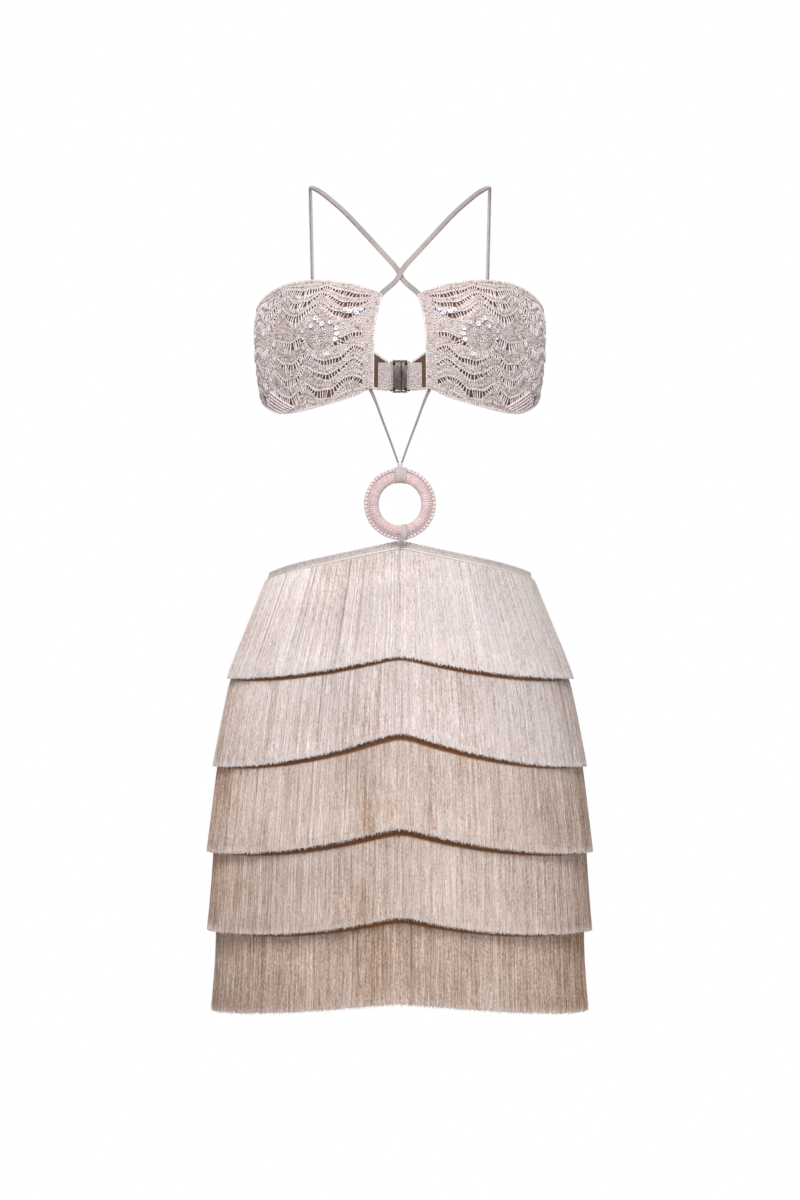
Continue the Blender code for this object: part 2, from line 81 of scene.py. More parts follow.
def add_camera():
    data = bpy.data.cameras.new("camera")
    data.lens = CAMERA_LENS
    data.clip_end = CAMERA_REACH
    camera = bpy.data.objects.new("camera", data)
    camera.location = CAMERA_PLACE
    camera.rotation_euler = (math.radians(90), 0.0, 0.0)
    bpy.context.scene.collection.objects.link(camera)
    bpy.context.scene.camera = camera


add_camera()
bpy.context.scene.view_settings.view_transform = "Standard"
print("camera", CAMERA_LENS, "mm at", CAMERA_PLACE)

# %% [markdown]
# ## The figure
# The cloth stands on a general figure, given by a few sections of the hips and the chest.  Two
# soft swellings give the cups their fullness.  The top's edges are one more table, read by the
# turn round the figure from the centre front.

# %% The figure's sections
# height, half_width, front_depth, back_depth
HIPS = (
    (-0.830, 0.1780, 0.1205, 0.1230),
    (-0.760, 0.1790, 0.1220, 0.1260),
    (-0.680, 0.1820, 0.1240, 0.1300),
    (-0.600, 0.1800, 0.1225, 0.1320),
    (-0.540, 0.1735, 0.1190, 0.1300),
    (-0.490, 0.1645, 0.1130, 0.1230),
    (-0.430, 0.1445, 0.1030, 0.1090),
    (-0.390, 0.1295, 0.0945, 0.0970),
    (-0.350, 0.1170, 0.0880, 0.0910),
)
CHEST = (
    (-0.235, 0.1315, 0.0900, 0.0900),
    (-0.217, 0.1356, 0.0925, 0.0920),
    (-0.200, 0.1389, 0.0940, 0.0935),
    (-0.180, 0.1417, 0.0950, 0.0940),
    (-0.160, 0.1430, 0.0950, 0.0940),
    (-0.140, 0.1431, 0.0940, 0.0935),
    (-0.122, 0.1413, 0.0915, 0.0925),
    (-0.095, 0.1365, 0.0870, 0.0900),
)
CUP_CENTRE_X, CUP_CENTRE_Z = 0.070, -0.158
CUP_SPREAD_X, CUP_SPREAD_Z = 0.030, 0.034
CUP_DEPTH = 0.025

# turn_in_degrees, upper_edge, lower_edge
TOP_EDGES = (
    (0, -0.1170, -0.1995),
    (7, -0.1143, -0.2030),
    (12, -0.1100, -0.2065),
    (22, -0.1036, -0.2150),
    (38, -0.1000, -0.2235),
    (52, -0.1016, -0.2278),
    (64, -0.1076, -0.2270),
    (76, -0.1162, -0.2215),
    (90, -0.1240, -0.2155),
    (120, -0.1320, -0.2080),
    (150, -0.1445, -0.2005),
    (168, -0.1585, -0.1965),
    (176, -0.1705, -0.1980),
    (180, -0.1720, -0.1980),
)
print("sections:", len(HIPS), "of the hips,", len(CHEST), "of the chest")

# %% [markdown]
# ## Reading the figure
# A smooth curve through a table's rows gives every section between them.  Whole arrays are read
# at once, because thousands of points are wanted.  Cloth lies a little off the figure, so each
# point also needs the direction that faces out there.

# %% Reading the figure
TURN_STEP, HEIGHT_STEP = 0.5, 0.0005  # degrees and metres between the points that give a slope


def read(rows, where, column):
    """A column's values at places between a table's rows, on a smooth curve."""
    rows = np.asarray(rows, float)
    at, value = rows[:, 0], rows[:, column]
    before = np.maximum(np.arange(len(at)) - 1, 0)
    after = np.minimum(np.arange(len(at)) + 1, len(at) - 1)
    slope = (value[after] - value[before]) / (at[after] - at[before])
    where = np.clip(where, at[0], at[-1])
    i = np.clip(np.searchsorted(at, where, side="right") - 1, 0, len(at) - 2)
    width = at[i + 1] - at[i]
    t = (where - at[i]) / width
    result = (2 * t**3 - 3 * t**2 + 1) * value[i] + (3 * t**2 - 2 * t**3) * value[i + 1]
    result += (t**3 - 2 * t**2 + t) * width * slope[i]
    return result + (t**3 - t**2) * width * slope[i + 1]


def mix(start, end, share):
    return start + (end - start) * share


def figure(rows, turn, height):
    """Points on the figure: turn is in degrees from centre front, towards +X."""
    turn, height = np.broadcast_arrays(turn, height)
    angle = np.radians(turn)
    depth = np.where(np.cos(angle) > 0, read(rows, height, 2), read(rows, height, 3))
    across = read(rows, height, 1) * np.sin(angle)
    return np.stack([across, -depth * np.cos(angle), height], axis=-1)


def chest(turn, height):
    points = figure(CHEST, turn, height)
    facing = np.cos(np.radians(turn))
    across = (np.abs(points[..., 0]) - CUP_CENTRE_X) / CUP_SPREAD_X
    up = (points[..., 2] - CUP_CENTRE_Z) / CUP_SPREAD_Z
    fullness = np.exp(-(across**2 + up**2) / 2)
    points[..., 1] -= CUP_DEPTH * fullness * np.maximum(facing, 0.0) ** 0.5
    return points


def hips(turn, height):
    return figure(HIPS, turn, height)


def unit(vectors):
    return vectors / np.linalg.norm(vectors, axis=-1, keepdims=True)


def measured(path):
    """How far along a path each of its points lies."""
    return np.concatenate([[0.0], np.cumsum(np.linalg.norm(np.diff(path, axis=0), axis=1))])


def length_of(path):
    return float(np.linalg.norm(np.diff(path, axis=0), axis=1).sum())


def lifted(surface, turn, height, offset):
    """Points moved out from the figure, square to it."""
    turn, height, offset = np.broadcast_arrays(turn, height, offset)
    along = surface(turn + TURN_STEP, height) - surface(turn - TURN_STEP, height)
    up = surface(turn, height + HEIGHT_STEP) - surface(turn, height - HEIGHT_STEP)
    out = unit(np.cross(along, up))
    points = surface(turn, height)
    inward = np.sum(out[..., :2] * points[..., :2], axis=-1) < 0
    out[inward] *= -1
    return points + out * offset[..., None]


print("hips at -0.68:", hips(np.array([0.0, 90.0, 180.0]), -0.68).round(4).tolist())

# %% [markdown]
# ## Node trees as Python expressions
# A node tree is easier to read as sums than as a web of links.  `Wire` wraps one socket and
# turns +, -, *, / and ** into Math nodes.

# %% Wires
def operator(operation, swapped=False):
    """One Math node for one Python operator."""

    def apply(self, other):
        values = (other, self) if swapped else (self, other)
        return self.net.math(operation, *values)

    return apply


class Wire:
    """A node's output that can stand in a Python expression."""

    def __init__(self, net, socket):
        self.net, self.socket = net, socket

    __add__ = __radd__ = operator("ADD")
    __mul__ = __rmul__ = operator("MULTIPLY")
    __sub__, __rsub__ = operator("SUBTRACT"), operator("SUBTRACT", swapped=True)
    __truediv__, __pow__ = operator("DIVIDE"), operator("POWER")

    def other(self, name):
        return Wire(self.net, self.socket.node.outputs[name])


print("wires ready")

# %% [markdown]
# ## Nets
# A net owns the tree.  Its `make` adds a node from its type, its settings and its sockets, and
# the short helpers below are the few nodes that are used again and again.

# %% Nets
class Net:
    """A node tree under construction."""

    def __init__(self, tree):
        self.tree = tree

    def make(self, kind, settings=None, sockets=None, output=0):
        node = self.tree.nodes.new(kind)
        for name, value in (settings or {}).items():
            setattr(node, name, value)
        for name, value in (sockets or {}).items():
            self.feed(node.inputs[name], value)
        return Wire(self, node.outputs[output])

    def feed(self, target, value):
        if isinstance(value, Wire):
            self.tree.links.new(value.socket, target)
        else:
            target.default_value = value

    def math(self, operation, *values):
        return self.make("ShaderNodeMath", {"operation": operation}, dict(enumerate(values)))

    def clamped(self, value):
        return self.make("ShaderNodeClamp", None, {"Value": value})

    def within(self, value, margin):
        """A share kept inside a guide that runs a margin past 0 and 1."""
        sockets = {"Value": value, "Min": 0.0002 - margin, "Max": 0.9998 + margin}
        return self.make("ShaderNodeClamp", None, sockets)

    def joined(self, x, y, z):
        return self.make("ShaderNodeCombineXYZ", None, {"X": x, "Y": y, "Z": z})

    def parts(self, vector):
        x = self.make("ShaderNodeSeparateXYZ", None, {0: vector})
        return x, x.other("Y"), x.other("Z")

    def noise(self, vector, scale, detail=2.0):
        sockets = {"Vector": vector, "Scale": scale, "Detail": detail}
        return self.make("ShaderNodeTexNoise", {"noise_dimensions": "3D"}, sockets)

    def blend(self, share, first, second):
        sockets = {0: share, 6: first, 7: second}
        return self.make("ShaderNodeMix", {"data_type": "RGBA"}, sockets, 2)


print("nets ready")

# %% [markdown]
# ## Trees that grow meshes
# A pattern is a Geometry Nodes tree with named inputs for its sizes.  A modifier's input is set
# by the socket's identifier, so the tree keeps a list of them.  `grow` runs the tree on an
# object, keeps the result as a plain mesh and takes the modifier away.

# %% Patterns
class Pattern(Net):
    """A Geometry Nodes tree with named inputs, each with its usual value."""

    KINDS = {float: "NodeSocketFloat", int: "NodeSocketInt"}

    def __init__(self, name, **inputs):
        super().__init__(bpy.data.node_groups.new(name, "GeometryNodeTree"))
        face = self.tree.interface
        face.new_socket("Geometry", in_out="INPUT", socket_type="NodeSocketGeometry")
        face.new_socket("Geometry", in_out="OUTPUT", socket_type="NodeSocketGeometry")
        self.labels = {}
        for label, value in inputs.items():
            kind = self.KINDS.get(type(value), value)
            made = face.new_socket(label, in_out="INPUT", socket_type=kind)
            self.labels[label] = (made.identifier, value)
        self.entry = self.tree.nodes.new("NodeGroupInput")
        self.exit = self.tree.nodes.new("NodeGroupOutput")

    def given(self, label="Geometry"):
        return Wire(self, self.entry.outputs[label])

    def named(self, name, kind="FLOAT"):
        settings = {"data_type": kind}
        return self.make("GeometryNodeInputNamedAttribute", settings, {"Name": name})

    def stored(self, geometry, name, value):
        sockets = {"Geometry": geometry, "Name": name, "Value": value}
        return self.make("GeometryNodeStoreNamedAttribute", None, sockets)

    def random(self, low, high, seed, identity=None):
        sockets = {2: low, 3: high, "Seed": seed}
        if identity is not None:
            sockets["ID"] = identity
        return self.make("FunctionNodeRandomValue", None, sockets, 1)

    def moved(self, geometry, position):
        return self.make("GeometryNodeSetPosition", None, {"Geometry": geometry, "Position": position})

    def line(self, end, count):
        line = self.make("GeometryNodeCurvePrimitiveLine", None, {"Start": (0, 0, 0), "End": end})
        return self.make("GeometryNodeResampleCurve", None, {"Curve": line, "Count": count})

    def tube(self, curve, sides, radius):
        """A curve as a smooth tube with closed ends."""
        sockets = {"Resolution": sides, "Radius": 1.0}
        profile = self.make("GeometryNodeCurvePrimitiveCircle", None, sockets)
        sockets = {"Curve": curve, "Profile Curve": profile, "Scale": radius, "Fill Caps": True}
        mesh = self.make("GeometryNodeCurveToMesh", None, sockets)
        return self.make("GeometryNodeSetShadeSmooth", None, {"Geometry": mesh})

    def merged(self, *geometries):
        both = self.make("GeometryNodeJoinGeometry")
        for geometry in geometries:
            self.feed(both.socket.node.inputs[0], geometry)
        return both

    def finished(self, geometry, finish):
        """Every tree ends in plain geometry with its finish."""
        real = self.make("GeometryNodeRealizeInstances", None, {"Geometry": geometry})
        done = self.make("GeometryNodeSetMaterial", None, {"Geometry": real, "Material": finish})
        self.feed(self.exit.inputs[0], done)


def grow(base, pattern, **values):
    modifier = base.modifiers.new(pattern.tree.name, "NODES")
    modifier.node_group = pattern.tree
    for label, (identifier, value) in pattern.labels.items():
        modifier[identifier] = values.get(label, value)
    ready = base.evaluated_get(bpy.context.evaluated_depsgraph_get())
    mesh = bpy.data.meshes.new_from_object(ready)
    base.modifiers.remove(modifier)
    bpy.data.objects.remove(base)
    return mesh


print("patterns ready")

# %% [markdown]
# ## Meshes
# The two sides of the dress mirror each other, and a mirrored place turns a mesh inside out.
# So each mesh is checked by its signed volume, and turned if it needs it.

# %% Meshes
SHARP_EDGE = math.radians(50)


def signed_volume(mesh):
    mesh.calc_loop_triangles()
    points = np.empty(len(mesh.vertices) * 3)
    mesh.vertices.foreach_get("co", points)
    corners = np.empty(len(mesh.loop_triangles) * 3, int)
    mesh.loop_triangles.foreach_get("vertices", corners)
    a, b, c = points.reshape(-1, 3)[corners.reshape(-1, 3)].transpose(1, 0, 2)
    return float(np.sum(a * np.cross(b, c)) / 6)


def link(name, mesh):
    item = bpy.data.objects.new(name, mesh)
    bpy.context.scene.collection.objects.link(item)
    return item


def make_mesh(name, points, faces, finish=None):
    mesh = bpy.data.meshes.new(name)
    mesh.from_pydata(np.asarray(points).tolist(), [], [tuple(face) for face in faces])
    if signed_volume(mesh) < 0:
        mesh.flip_normals()
    mesh.shade_smooth()
    mesh.set_sharp_from_angle(angle=SHARP_EDGE)
    if finish:
        mesh.materials.append(finish)
    return mesh


def grid_faces(columns, rows, around, start=0):
    """Quads of a grid whose points are counted column by column."""
    faces = []
    for i in range(columns if around else columns - 1):
        ahead = (i + 1) % columns
        for j in range(rows - 1):
            corners = (i * rows + j, ahead * rows + j, ahead * rows + j + 1, i * rows + j + 1)
            faces.append(tuple(start + corner for corner in corners))
    return faces


def tube_faces(count, sides, closed):
    """Quads between rings of points, and a cap at each end of an open tube."""
    faces = []
    for i in range(count if closed else count - 1):
        here, ahead = sides * i, sides * ((i + 1) % count)
        for j in range(sides):
            after = (j + 1) % sides
            faces.append((here + j, here + after, ahead + after, ahead + j))
    if not closed:
        last = sides * (count - 1)
        faces += [tuple(range(sides))[::-1], tuple(range(last, last + sides))]
    return faces


print("meshes ready")

# %% [markdown]
# ## Walls and tubes
# Cloth is a closed wall between two offsets of a surface.  A wall that runs all round joins its
# ends, and any other gets side faces.  Cords and rolled edges are tubes round a path, and a
# closed path needs no caps.

# %% Walls and tubes
TUBE_GUIDE = np.array([0.0, -1.0, 0.12])  # no path runs this way, so every section can turn from it


def wall_mesh(name, place, columns, rows, inner, outer, around, finish):
    """A closed wall of cloth: place(u, v, offset), with offsets that may vary with v."""
    u = np.linspace(0.0, 1.0, columns, endpoint=not around)[:, None]
    v = np.linspace(0.0, 1.0, rows)[None, :]
    u, v = np.broadcast_arrays(u, v)
    near, far = place(u, v, inner(v)), place(u, v, outer(v))
    points = np.concatenate([near.reshape(-1, 3), far.reshape(-1, 3)])
    count = columns * rows
    faces = [face[::-1] for face in grid_faces(columns, rows, around)]
    faces += grid_faces(columns, rows, around, count)
    for j in (0, rows - 1):
        for i in range(columns if around else columns - 1):
            here, ahead = i * rows + j, (i + 1) % columns * rows + j
            face = (here, ahead, count + ahead, count + here)
            faces.append(face if j == 0 else face[::-1])
    if not around:
        for i in (0, columns - 1):
            for j in range(rows - 1):
                here = i * rows + j
                face = (here, here + 1, count + here + 1, count + here)
                faces.append(face[::-1] if i == 0 else face)
    return make_mesh(name, points, faces, finish)


def even(offset):
    return lambda v: np.full(v.shape, offset)


def tube_mesh(name, path, radius, sides, finish=None, squash=1.0, closed=False):
    """A tube round a path.  Its section may be flatter along the path's own out direction."""
    path = np.asarray(path, float)
    if closed:
        ahead, behind = np.roll(path, -1, axis=0), np.roll(path, 1, axis=0)
    else:
        ahead = np.concatenate([path[1:], path[-1:]])
        behind = np.concatenate([path[:1], path[:-1]])
    along = unit(ahead - behind)
    across = unit(np.cross(along, TUBE_GUIDE))
    out = np.cross(across, along)
    angles = np.linspace(0.0, math.tau, sides, endpoint=False)
    radius = np.broadcast_to(radius, len(path))[:, None, None]
    ring = across[:, None] * np.cos(angles)[:, None] + out[:, None] * (squash * np.sin(angles))[:, None]
    points = (path[:, None] + ring * radius).reshape(-1, 3)
    return make_mesh(name, points, tube_faces(len(path), sides, closed), finish)


print("walls and tubes ready")

# %% [markdown]
# ## Pieces
# A piece is joined from its parts and then set on the body that it rides on, and the solids that
# it stands for are hidden.

# %% Pieces
def join(name, meshes):
    items = [link(f"{name}_{i}", mesh) for i, mesh in enumerate(meshes)]
    if len(items) > 1:
        with bpy.context.temp_override(active_object=items[0], selected_editable_objects=items):
            bpy.ops.object.join()
    items[0].name = items[0].data.name = name
    return items[0]


def place_piece(item, slot, *nodes):
    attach(item, "root")
    if nodes:
        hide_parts(*nodes)
    item.data.calc_loop_triangles()
    print(f"{item.name}: {len(item.data.loop_triangles)} triangles")
    return item


print("pieces ready")

# %% [markdown]
# ## Starting a finish
# Every finish starts from the same Principled shader.  What is even over the surface is set on
# the shader's own socket, and what varies is read from Object coordinates or from an attribute
# that the stitches carry.

# %% Starting a finish
def tone(red, green, blue):
    """A colour given as it looks on a swatch, as the shader's linear values."""
    values = [channel / 255 for channel in (red, green, blue)]
    linear = [value / 12.92 if value < 0.04 else ((value + 0.055) / 1.055) ** 2.4 for value in values]
    return (*linear, 1.0)


def finish(name, roughness, metallic=0.0, sheen=0.0, specular=0.5):
    material = bpy.data.materials.new(name)
    material.use_nodes = True
    shader = material.node_tree.nodes["Principled BSDF"]
    values = {"Roughness": roughness, "Metallic": metallic, "Sheen Weight": sheen}
    values["Specular IOR Level"] = specular
    for socket, value in values.items():
        shader.inputs[socket].default_value = value
    return material, shader, Net(material.node_tree)


def object_place(net):
    return net.make("ShaderNodeTexCoord", None, None, "Object")


def attribute(net, name):
    return net.make("ShaderNodeAttribute", {"attribute_name": name}, None, "Fac")


def bump(net, shader, height, strength, distance):
    sockets = {"Height": height, "Strength": strength, "Distance": distance}
    net.feed(shader.inputs["Normal"], net.make("ShaderNodeBump", None, sockets, "Normal"))


print("white as the shader's values:", tone(255, 255, 255))

# %% [markdown]
# ## Yarn and cloth
# Cotton yarn has no even colour.  Each stitch carries a `shade` of its own and a `lift`, which
# is how far it stands off the cloth.  Low places are painted with the deep tone, as painted shade
# in the hollows between stitches, and a fine noise gives the fibre.  The linings are woven, so two
# crossing waves make their threads.

# %% Yarn and cloth
YARN_ROUGHNESS, YARN_SHEEN, YARN_SPECULAR = 0.8, 0.25, 0.25
CLOTH_ROUGHNESS, CLOTH_SHEEN, CLOTH_SPECULAR = 0.75, 0.15, 0.3
CLOTH_THREADS = 1100.0  # to the metre


def yarn_finish(name, deep, plain, light, pits=0.0, fuzz=1.0):
    """Yarn: lighter and darker stitches, greyer patches, a fuzz of fibres, and painted shade in the
    hollows and in small pits.
    """
    material, shader, net = finish(name, YARN_ROUGHNESS, sheen=YARN_SHEEN, specular=YARN_SPECULAR)
    place = object_place(net)
    patches = net.noise(place, 22.0, 3.0)
    fibre = net.noise(place, 900.0, 3.0)
    # Pits are small dents in the bump, painted with the hollows' shade; they spread where a stitch's
    # shade is low.
    pit_shade_share = net.clamped(1.15 - attribute(net, "shade") * 1.3)
    pit = net.clamped((0.45 - net.noise(place, 430.0, 1.0)) * 9.0) * pit_shade_share * pits
    soft = (fibre - 0.5) * fuzz
    share = net.clamped(attribute(net, "shade") * 0.7 + patches * 0.6 + soft * 0.4 - 0.2)
    colour = net.blend(share, plain, light)
    # Low stitches and pits turn to the deep tone: painted shade in the hollows.
    raised = net.clamped(attribute(net, "lift") * 1.25 + soft * 0.3 + 0.05 - pit)
    net.feed(shader.inputs["Base Color"], net.blend(raised, deep, colour))
    net.feed(shader.inputs["Roughness"], net.clamped(YARN_ROUGHNESS - 0.08 + fibre * 0.2))
    bump(net, shader, soft - pit, 0.6, 0.0003)
    return material


def cloth_finish(name, dark, light):
    material, shader, net = finish(name, CLOTH_ROUGHNESS, sheen=CLOTH_SHEEN, specular=CLOTH_SPECULAR)
    place = object_place(net)
    x, y, z = net.parts(place)
    warp = net.math("SINE", (x + y) * CLOTH_THREADS * math.tau / 2)
    weft = net.math("SINE", z * CLOTH_THREADS * math.tau / 2)
    weave = warp * weft * 0.5 + 0.5
    patches = net.noise(place, 30.0, 3.0)
    share = net.clamped(weave * 0.3 + patches * 0.7)
    net.feed(shader.inputs["Base Color"], net.blend(share, dark, light))
    net.feed(shader.inputs["Roughness"], net.clamped(CLOTH_ROUGHNESS - 0.1 + patches * 0.2))
    bump(net, shader, weave, 0.35, 0.0002)
    return material


# each yarn's tones: the painted shade of its hollows, a plain stitch and a pale one
CROCHET_TONES = tone(116, 92, 80), tone(206, 191, 191), tone(249, 238, 236)
# the strap's plain tone is darker than its hollows' tone: painted shade on its front, which the lamps
# light brightly
STRAP_TONES = tone(170, 156, 154), tone(155, 142, 141), tone(253, 247, 246)
CORD_TONES = tone(140, 125, 123), tone(168, 155, 154), tone(246, 238, 237)
RING_TONES = tone(142, 112, 111), tone(208, 183, 183), tone(240, 221, 220)
WRAP_TONES = tone(140, 127, 126), tone(190, 176, 175), tone(208, 195, 194)
WAIST_TONES = tone(142, 124, 118), tone(206, 193, 190), tone(232, 222, 219)
CROCHET = yarn_finish("crochet", *CROCHET_TONES, pits=0.95)
STRAP_YARN = yarn_finish("knit_strap", *STRAP_TONES, fuzz=0.7)
CORD_YARN = yarn_finish("twisted_cord", *CORD_TONES, fuzz=0.7)
RING_YARN = yarn_finish("ring_yarn", *RING_TONES, fuzz=0.35)
WRAP_CORD = yarn_finish("ring_wrap", *WRAP_TONES, fuzz=0.35)
WAIST_YARN = yarn_finish("waistband", *WAIST_TONES, pits=0.4)
# The lining is painted dark brown: painted shade, as it lies in the shadow of the lace.
SHADED_LINING_CLOTH = cloth_finish("lining", tone(78, 56, 42), tone(112, 86, 68))
SKIRT_CLOTH = cloth_finish("skirt_cloth", tone(150, 122, 98), tone(186, 158, 132))
print("finishes:", len(bpy.data.materials))

# %% [markdown]
# ## Stitch shapes
# A stitch is a small closed spindle or two, fat in the middle, as yarn is between two loops.
# Thousands of them are laid, so a spindle has only three or four sides.

# %% Stitch shapes
SPINDLE_SHOULDERS = (0.28, 0.72)  # the shares of a rod's length between which it is thick


def spindles(name, rods, sides=4):
    """Small closed rods, each (start, end, thickness), fat in the middle."""
    points, faces = [], []
    for start, end, thickness in rods:
        start, end = np.array(start, float), np.array(end, float)
        along = unit(end - start)
        guide = np.array([0.0, 0.0, 1.0]) if abs(along[2]) < 0.9 else np.array([1.0, 0.0, 0.0])
        across = unit(np.cross(along, guide))
        out = np.cross(across, along)
        first = len(points)
        points.append(start)
        for share in SPINDLE_SHOULDERS:
            for k in range(sides):
                angle = math.tau * (k + 0.5) / sides
                spread = across * math.cos(angle) + out * math.sin(angle)
                points.append(mix(start, end, share) + spread * thickness / 2)
        points.append(end)
        last = len(points) - 1
        for k in range(sides):
            after = (k + 1) % sides
            low, high = first + 1 + k, first + 1 + after
            faces.append((first, high, low))
            faces.append((low, high, high + sides, low + sides))
            faces.append((low + sides, high + sides, last))
    mesh = bpy.data.meshes.new(name)
    mesh.from_pydata([tuple(point) for point in points], [], faces)
    if signed_volume(mesh) < 0:
        mesh.flip_normals()
    mesh.shade_smooth()
    return link(name, mesh)


# A stitch fills a unit square: x along its row, y up the cloth, z out.
KNIT_STITCH = spindles("knit_stitch", [
    ((-0.50, 0.66, 0.10), (0.05, -0.54, 0.42), 0.40),
    ((0.50, 0.66, 0.10), (-0.05, -0.54, 0.42), 0.40),
], sides=3)
POST = spindles("post", [((0.0, 0.04, 0.35), (0.0, -1.06, 0.35), 0.9)])
CHAIN_STITCH = spindles("chain_stitch", [
    ((-0.62, 0.10, 0.30), (0.45, 0.42, 0.45), 0.55),
    ((-0.62, -0.10, 0.30), (0.45, -0.42, 0.45), 0.55),
])
print("a knit stitch has", len(KNIT_STITCH.data.polygons), "faces")

# %% [markdown]
# ## Laying stitches on cloth
# One Geometry Nodes tree sets a stitch on each planned place and then carries every point onto
# the cloth.  The cloth is a plain grid with a UV map, and Sample UV Surface finds the point and
# its outward direction.  The same tree serves every crochet piece, so each is only a plan.

# %% The stitches' tree
def stitch_pattern():
    net = Pattern(
        "stitches on cloth", Stitch="NodeSocketObject", Cloth="NodeSocketObject",
        Width=0.1, Height=0.1, Margin=0.06, Rise=0.06, Pile=0.0009, Finish="NodeSocketMaterial",
    )
    shape = net.make("GeometryNodeObjectInfo", None, {"Object": net.given("Stitch")}, "Geometry")
    turn = net.make("FunctionNodeEulerToRotation", None, {0: net.named("turn", "FLOAT_VECTOR")})
    sockets = {"Points": net.given(), "Instance": shape, "Rotation": turn}
    sockets["Scale"] = net.named("size", "FLOAT_VECTOR")
    laid = net.make("GeometryNodeInstanceOnPoints", None, sockets)
    real = net.make("GeometryNodeRealizeInstances", None, {"Geometry": laid})
    x, y, z = net.parts(net.make("GeometryNodeInputPosition"))
    flat = net.joined(x / net.given("Width"), y / net.given("Height"), 0.0)
    real = net.stored(real, "lift", net.math("ABSOLUTE", z) / net.given("Pile"))
    net.finished(net.moved(real, on_cloth(net, flat, z)), net.given("Finish"))
    return net


def on_cloth(net, flat, height):
    """The point lifted off the cloth at a place on its UV map."""
    cloth = net.make("GeometryNodeObjectInfo", None, {"Object": net.given("Cloth")}, "Geometry")
    uv = net.named("UVMap", "FLOAT_VECTOR")
    u, v, _ = net.parts(flat)
    flat = net.joined(net.within(u, net.given("Margin")), net.within(v, net.given("Rise")), 0.0)

    def sampled(value):
        sockets = {"Mesh": cloth, "Value": value, "UV Map": uv, "Sample UV": flat}
        return net.make("GeometryNodeSampleUVSurface", {"data_type": "FLOAT_VECTOR"}, sockets)

    point = sampled(net.make("GeometryNodeInputPosition"))
    out = sampled(net.named("out", "FLOAT_VECTOR"))
    step = net.make("ShaderNodeVectorMath", {"operation": "SCALE"}, {0: out, 3: height})
    return net.make("ShaderNodeVectorMath", {"operation": "ADD"}, {0: point, 1: step})


STITCHES = stitch_pattern()
print("nodes that lay a stitch:", len(STITCHES.tree.nodes))

# %% [markdown]
# ## The cloth that guides them
# The guide is a grid over the piece's place.  It runs a share past the edges, so that the
# stitches at the edge still land on it, and it is removed when the stitches are laid.

# %% Guides and shades
GUIDE_LIFT = 0.001  # the short step off the cloth that gives its outward direction


def cloth_guide(place, columns, rows, margin=0.06, rise=0.06):
    """The grid that a plan is carried onto."""
    u = np.linspace(-margin, 1.0 + margin, columns)[:, None]
    v = np.linspace(-rise, 1.0 + rise, rows)[None, :]
    u, v = np.broadcast_arrays(u, v)
    points = place(u, v, np.zeros(u.shape))
    out = (place(u, v, np.full(u.shape, GUIDE_LIFT)) - points) / GUIDE_LIFT
    mesh = bpy.data.meshes.new("guide")
    mesh.from_pydata(points.reshape(-1, 3).tolist(), [], grid_faces(columns, rows, False))
    attribute_of(mesh, "out", out)
    corners = np.empty(len(mesh.loops), int)
    mesh.loops.foreach_get("vertex_index", corners)
    flat = np.stack([u, v], axis=-1).reshape(-1, 2)
    mesh.uv_layers.new(name="UVMap").data.foreach_set("uv", flat[corners].ravel())
    guide = link("guide", mesh)
    guide["margin"], guide["rise"] = margin, rise
    return guide


def attribute_of(mesh, name, values):
    """A value or a vector for each point of a mesh."""
    values = np.ascontiguousarray(values, np.float32)
    single = values.size == len(mesh.vertices)
    layer = mesh.attributes.new(name, "FLOAT" if single else "FLOAT_VECTOR", "POINT")
    layer.data.foreach_set("value" if single else "vector", values.ravel())


def shaded(mesh, value, lift):
    """Gives a whole mesh the shade and the lift that stitches have."""
    attribute_of(mesh, "shade", np.full(len(mesh.vertices), value))
    attribute_of(mesh, "lift", np.full(len(mesh.vertices), lift))
    return mesh


print("guides ready")

# %% [markdown]
# ## Plans
# A piece of crochet is planned flat, in metres, as rows of places, turns and sizes.  Handwork is
# never quite even, so each stitch is moved, tipped, sized and shaded a little by chance, from a
# fixed seed.

# %% Plans
# how far chance moves, sizes and shades a stitch, and tips it about x, y and z
CHANCE_LIFT, CHANCE_SIZE, CHANCE_SHADE, CHANCE_TIP = 0.00006, 0.06, 0.14, (0.03, 0.03, 0.08)
ROW_LAP = 1.12  # how much wider and taller a plain stitch is than its place


class Plan:
    """A flat plan of stitches, gathered row by row."""

    def __init__(self, seed, loose=1.0):
        self.chance = np.random.default_rng(seed)
        self.loose = loose
        self.rows = {}

    def add(self, shape, at, turn, size, shade):
        """at is (n, 2), in metres, turn is in radians, and size is (n, 3)."""
        count, loose, normal = len(at), self.loose, self.chance.normal
        at = np.column_stack([at, normal(0.0, CHANCE_LIFT * loose, count)])
        tip = normal(0.0, 1.0, (count, 3)) * [angle * loose for angle in CHANCE_TIP]
        turn = tip + np.column_stack([np.zeros((count, 2)), np.broadcast_to(turn, count)])
        size = np.broadcast_to(size, (count, 3)) * normal(1.0, CHANCE_SIZE * loose, (count, 3))
        shade = np.clip(shade + normal(0.0, CHANCE_SHADE * loose, count), 0.0, 1.0)
        self.rows.setdefault(shape, []).append((at, turn, size, shade))

    def laid(self, cloth, width, height, finish):
        """The meshes that the plan grows into."""
        meshes = []
        for shape, rows in self.rows.items():
            at, turn, size, shade = (np.concatenate(column) for column in zip(*rows))
            mesh = bpy.data.meshes.new("plan")
            mesh.from_pydata(at.tolist(), [], [])
            attribute_of(mesh, "turn", turn)
            attribute_of(mesh, "size", size)
            attribute_of(mesh, "shade", shade)
            values = {"Stitch": shape, "Cloth": cloth, "Width": width, "Height": height}
            values |= {"Margin": cloth["margin"], "Rise": cloth["rise"], "Finish": finish}
            grown = grow(link("plan", mesh), STITCHES, **values)
            if signed_volume(grown) < 0:
                grown.flip_normals()
            meshes.append(grown)
        bpy.data.objects.remove(cloth)
        return meshes


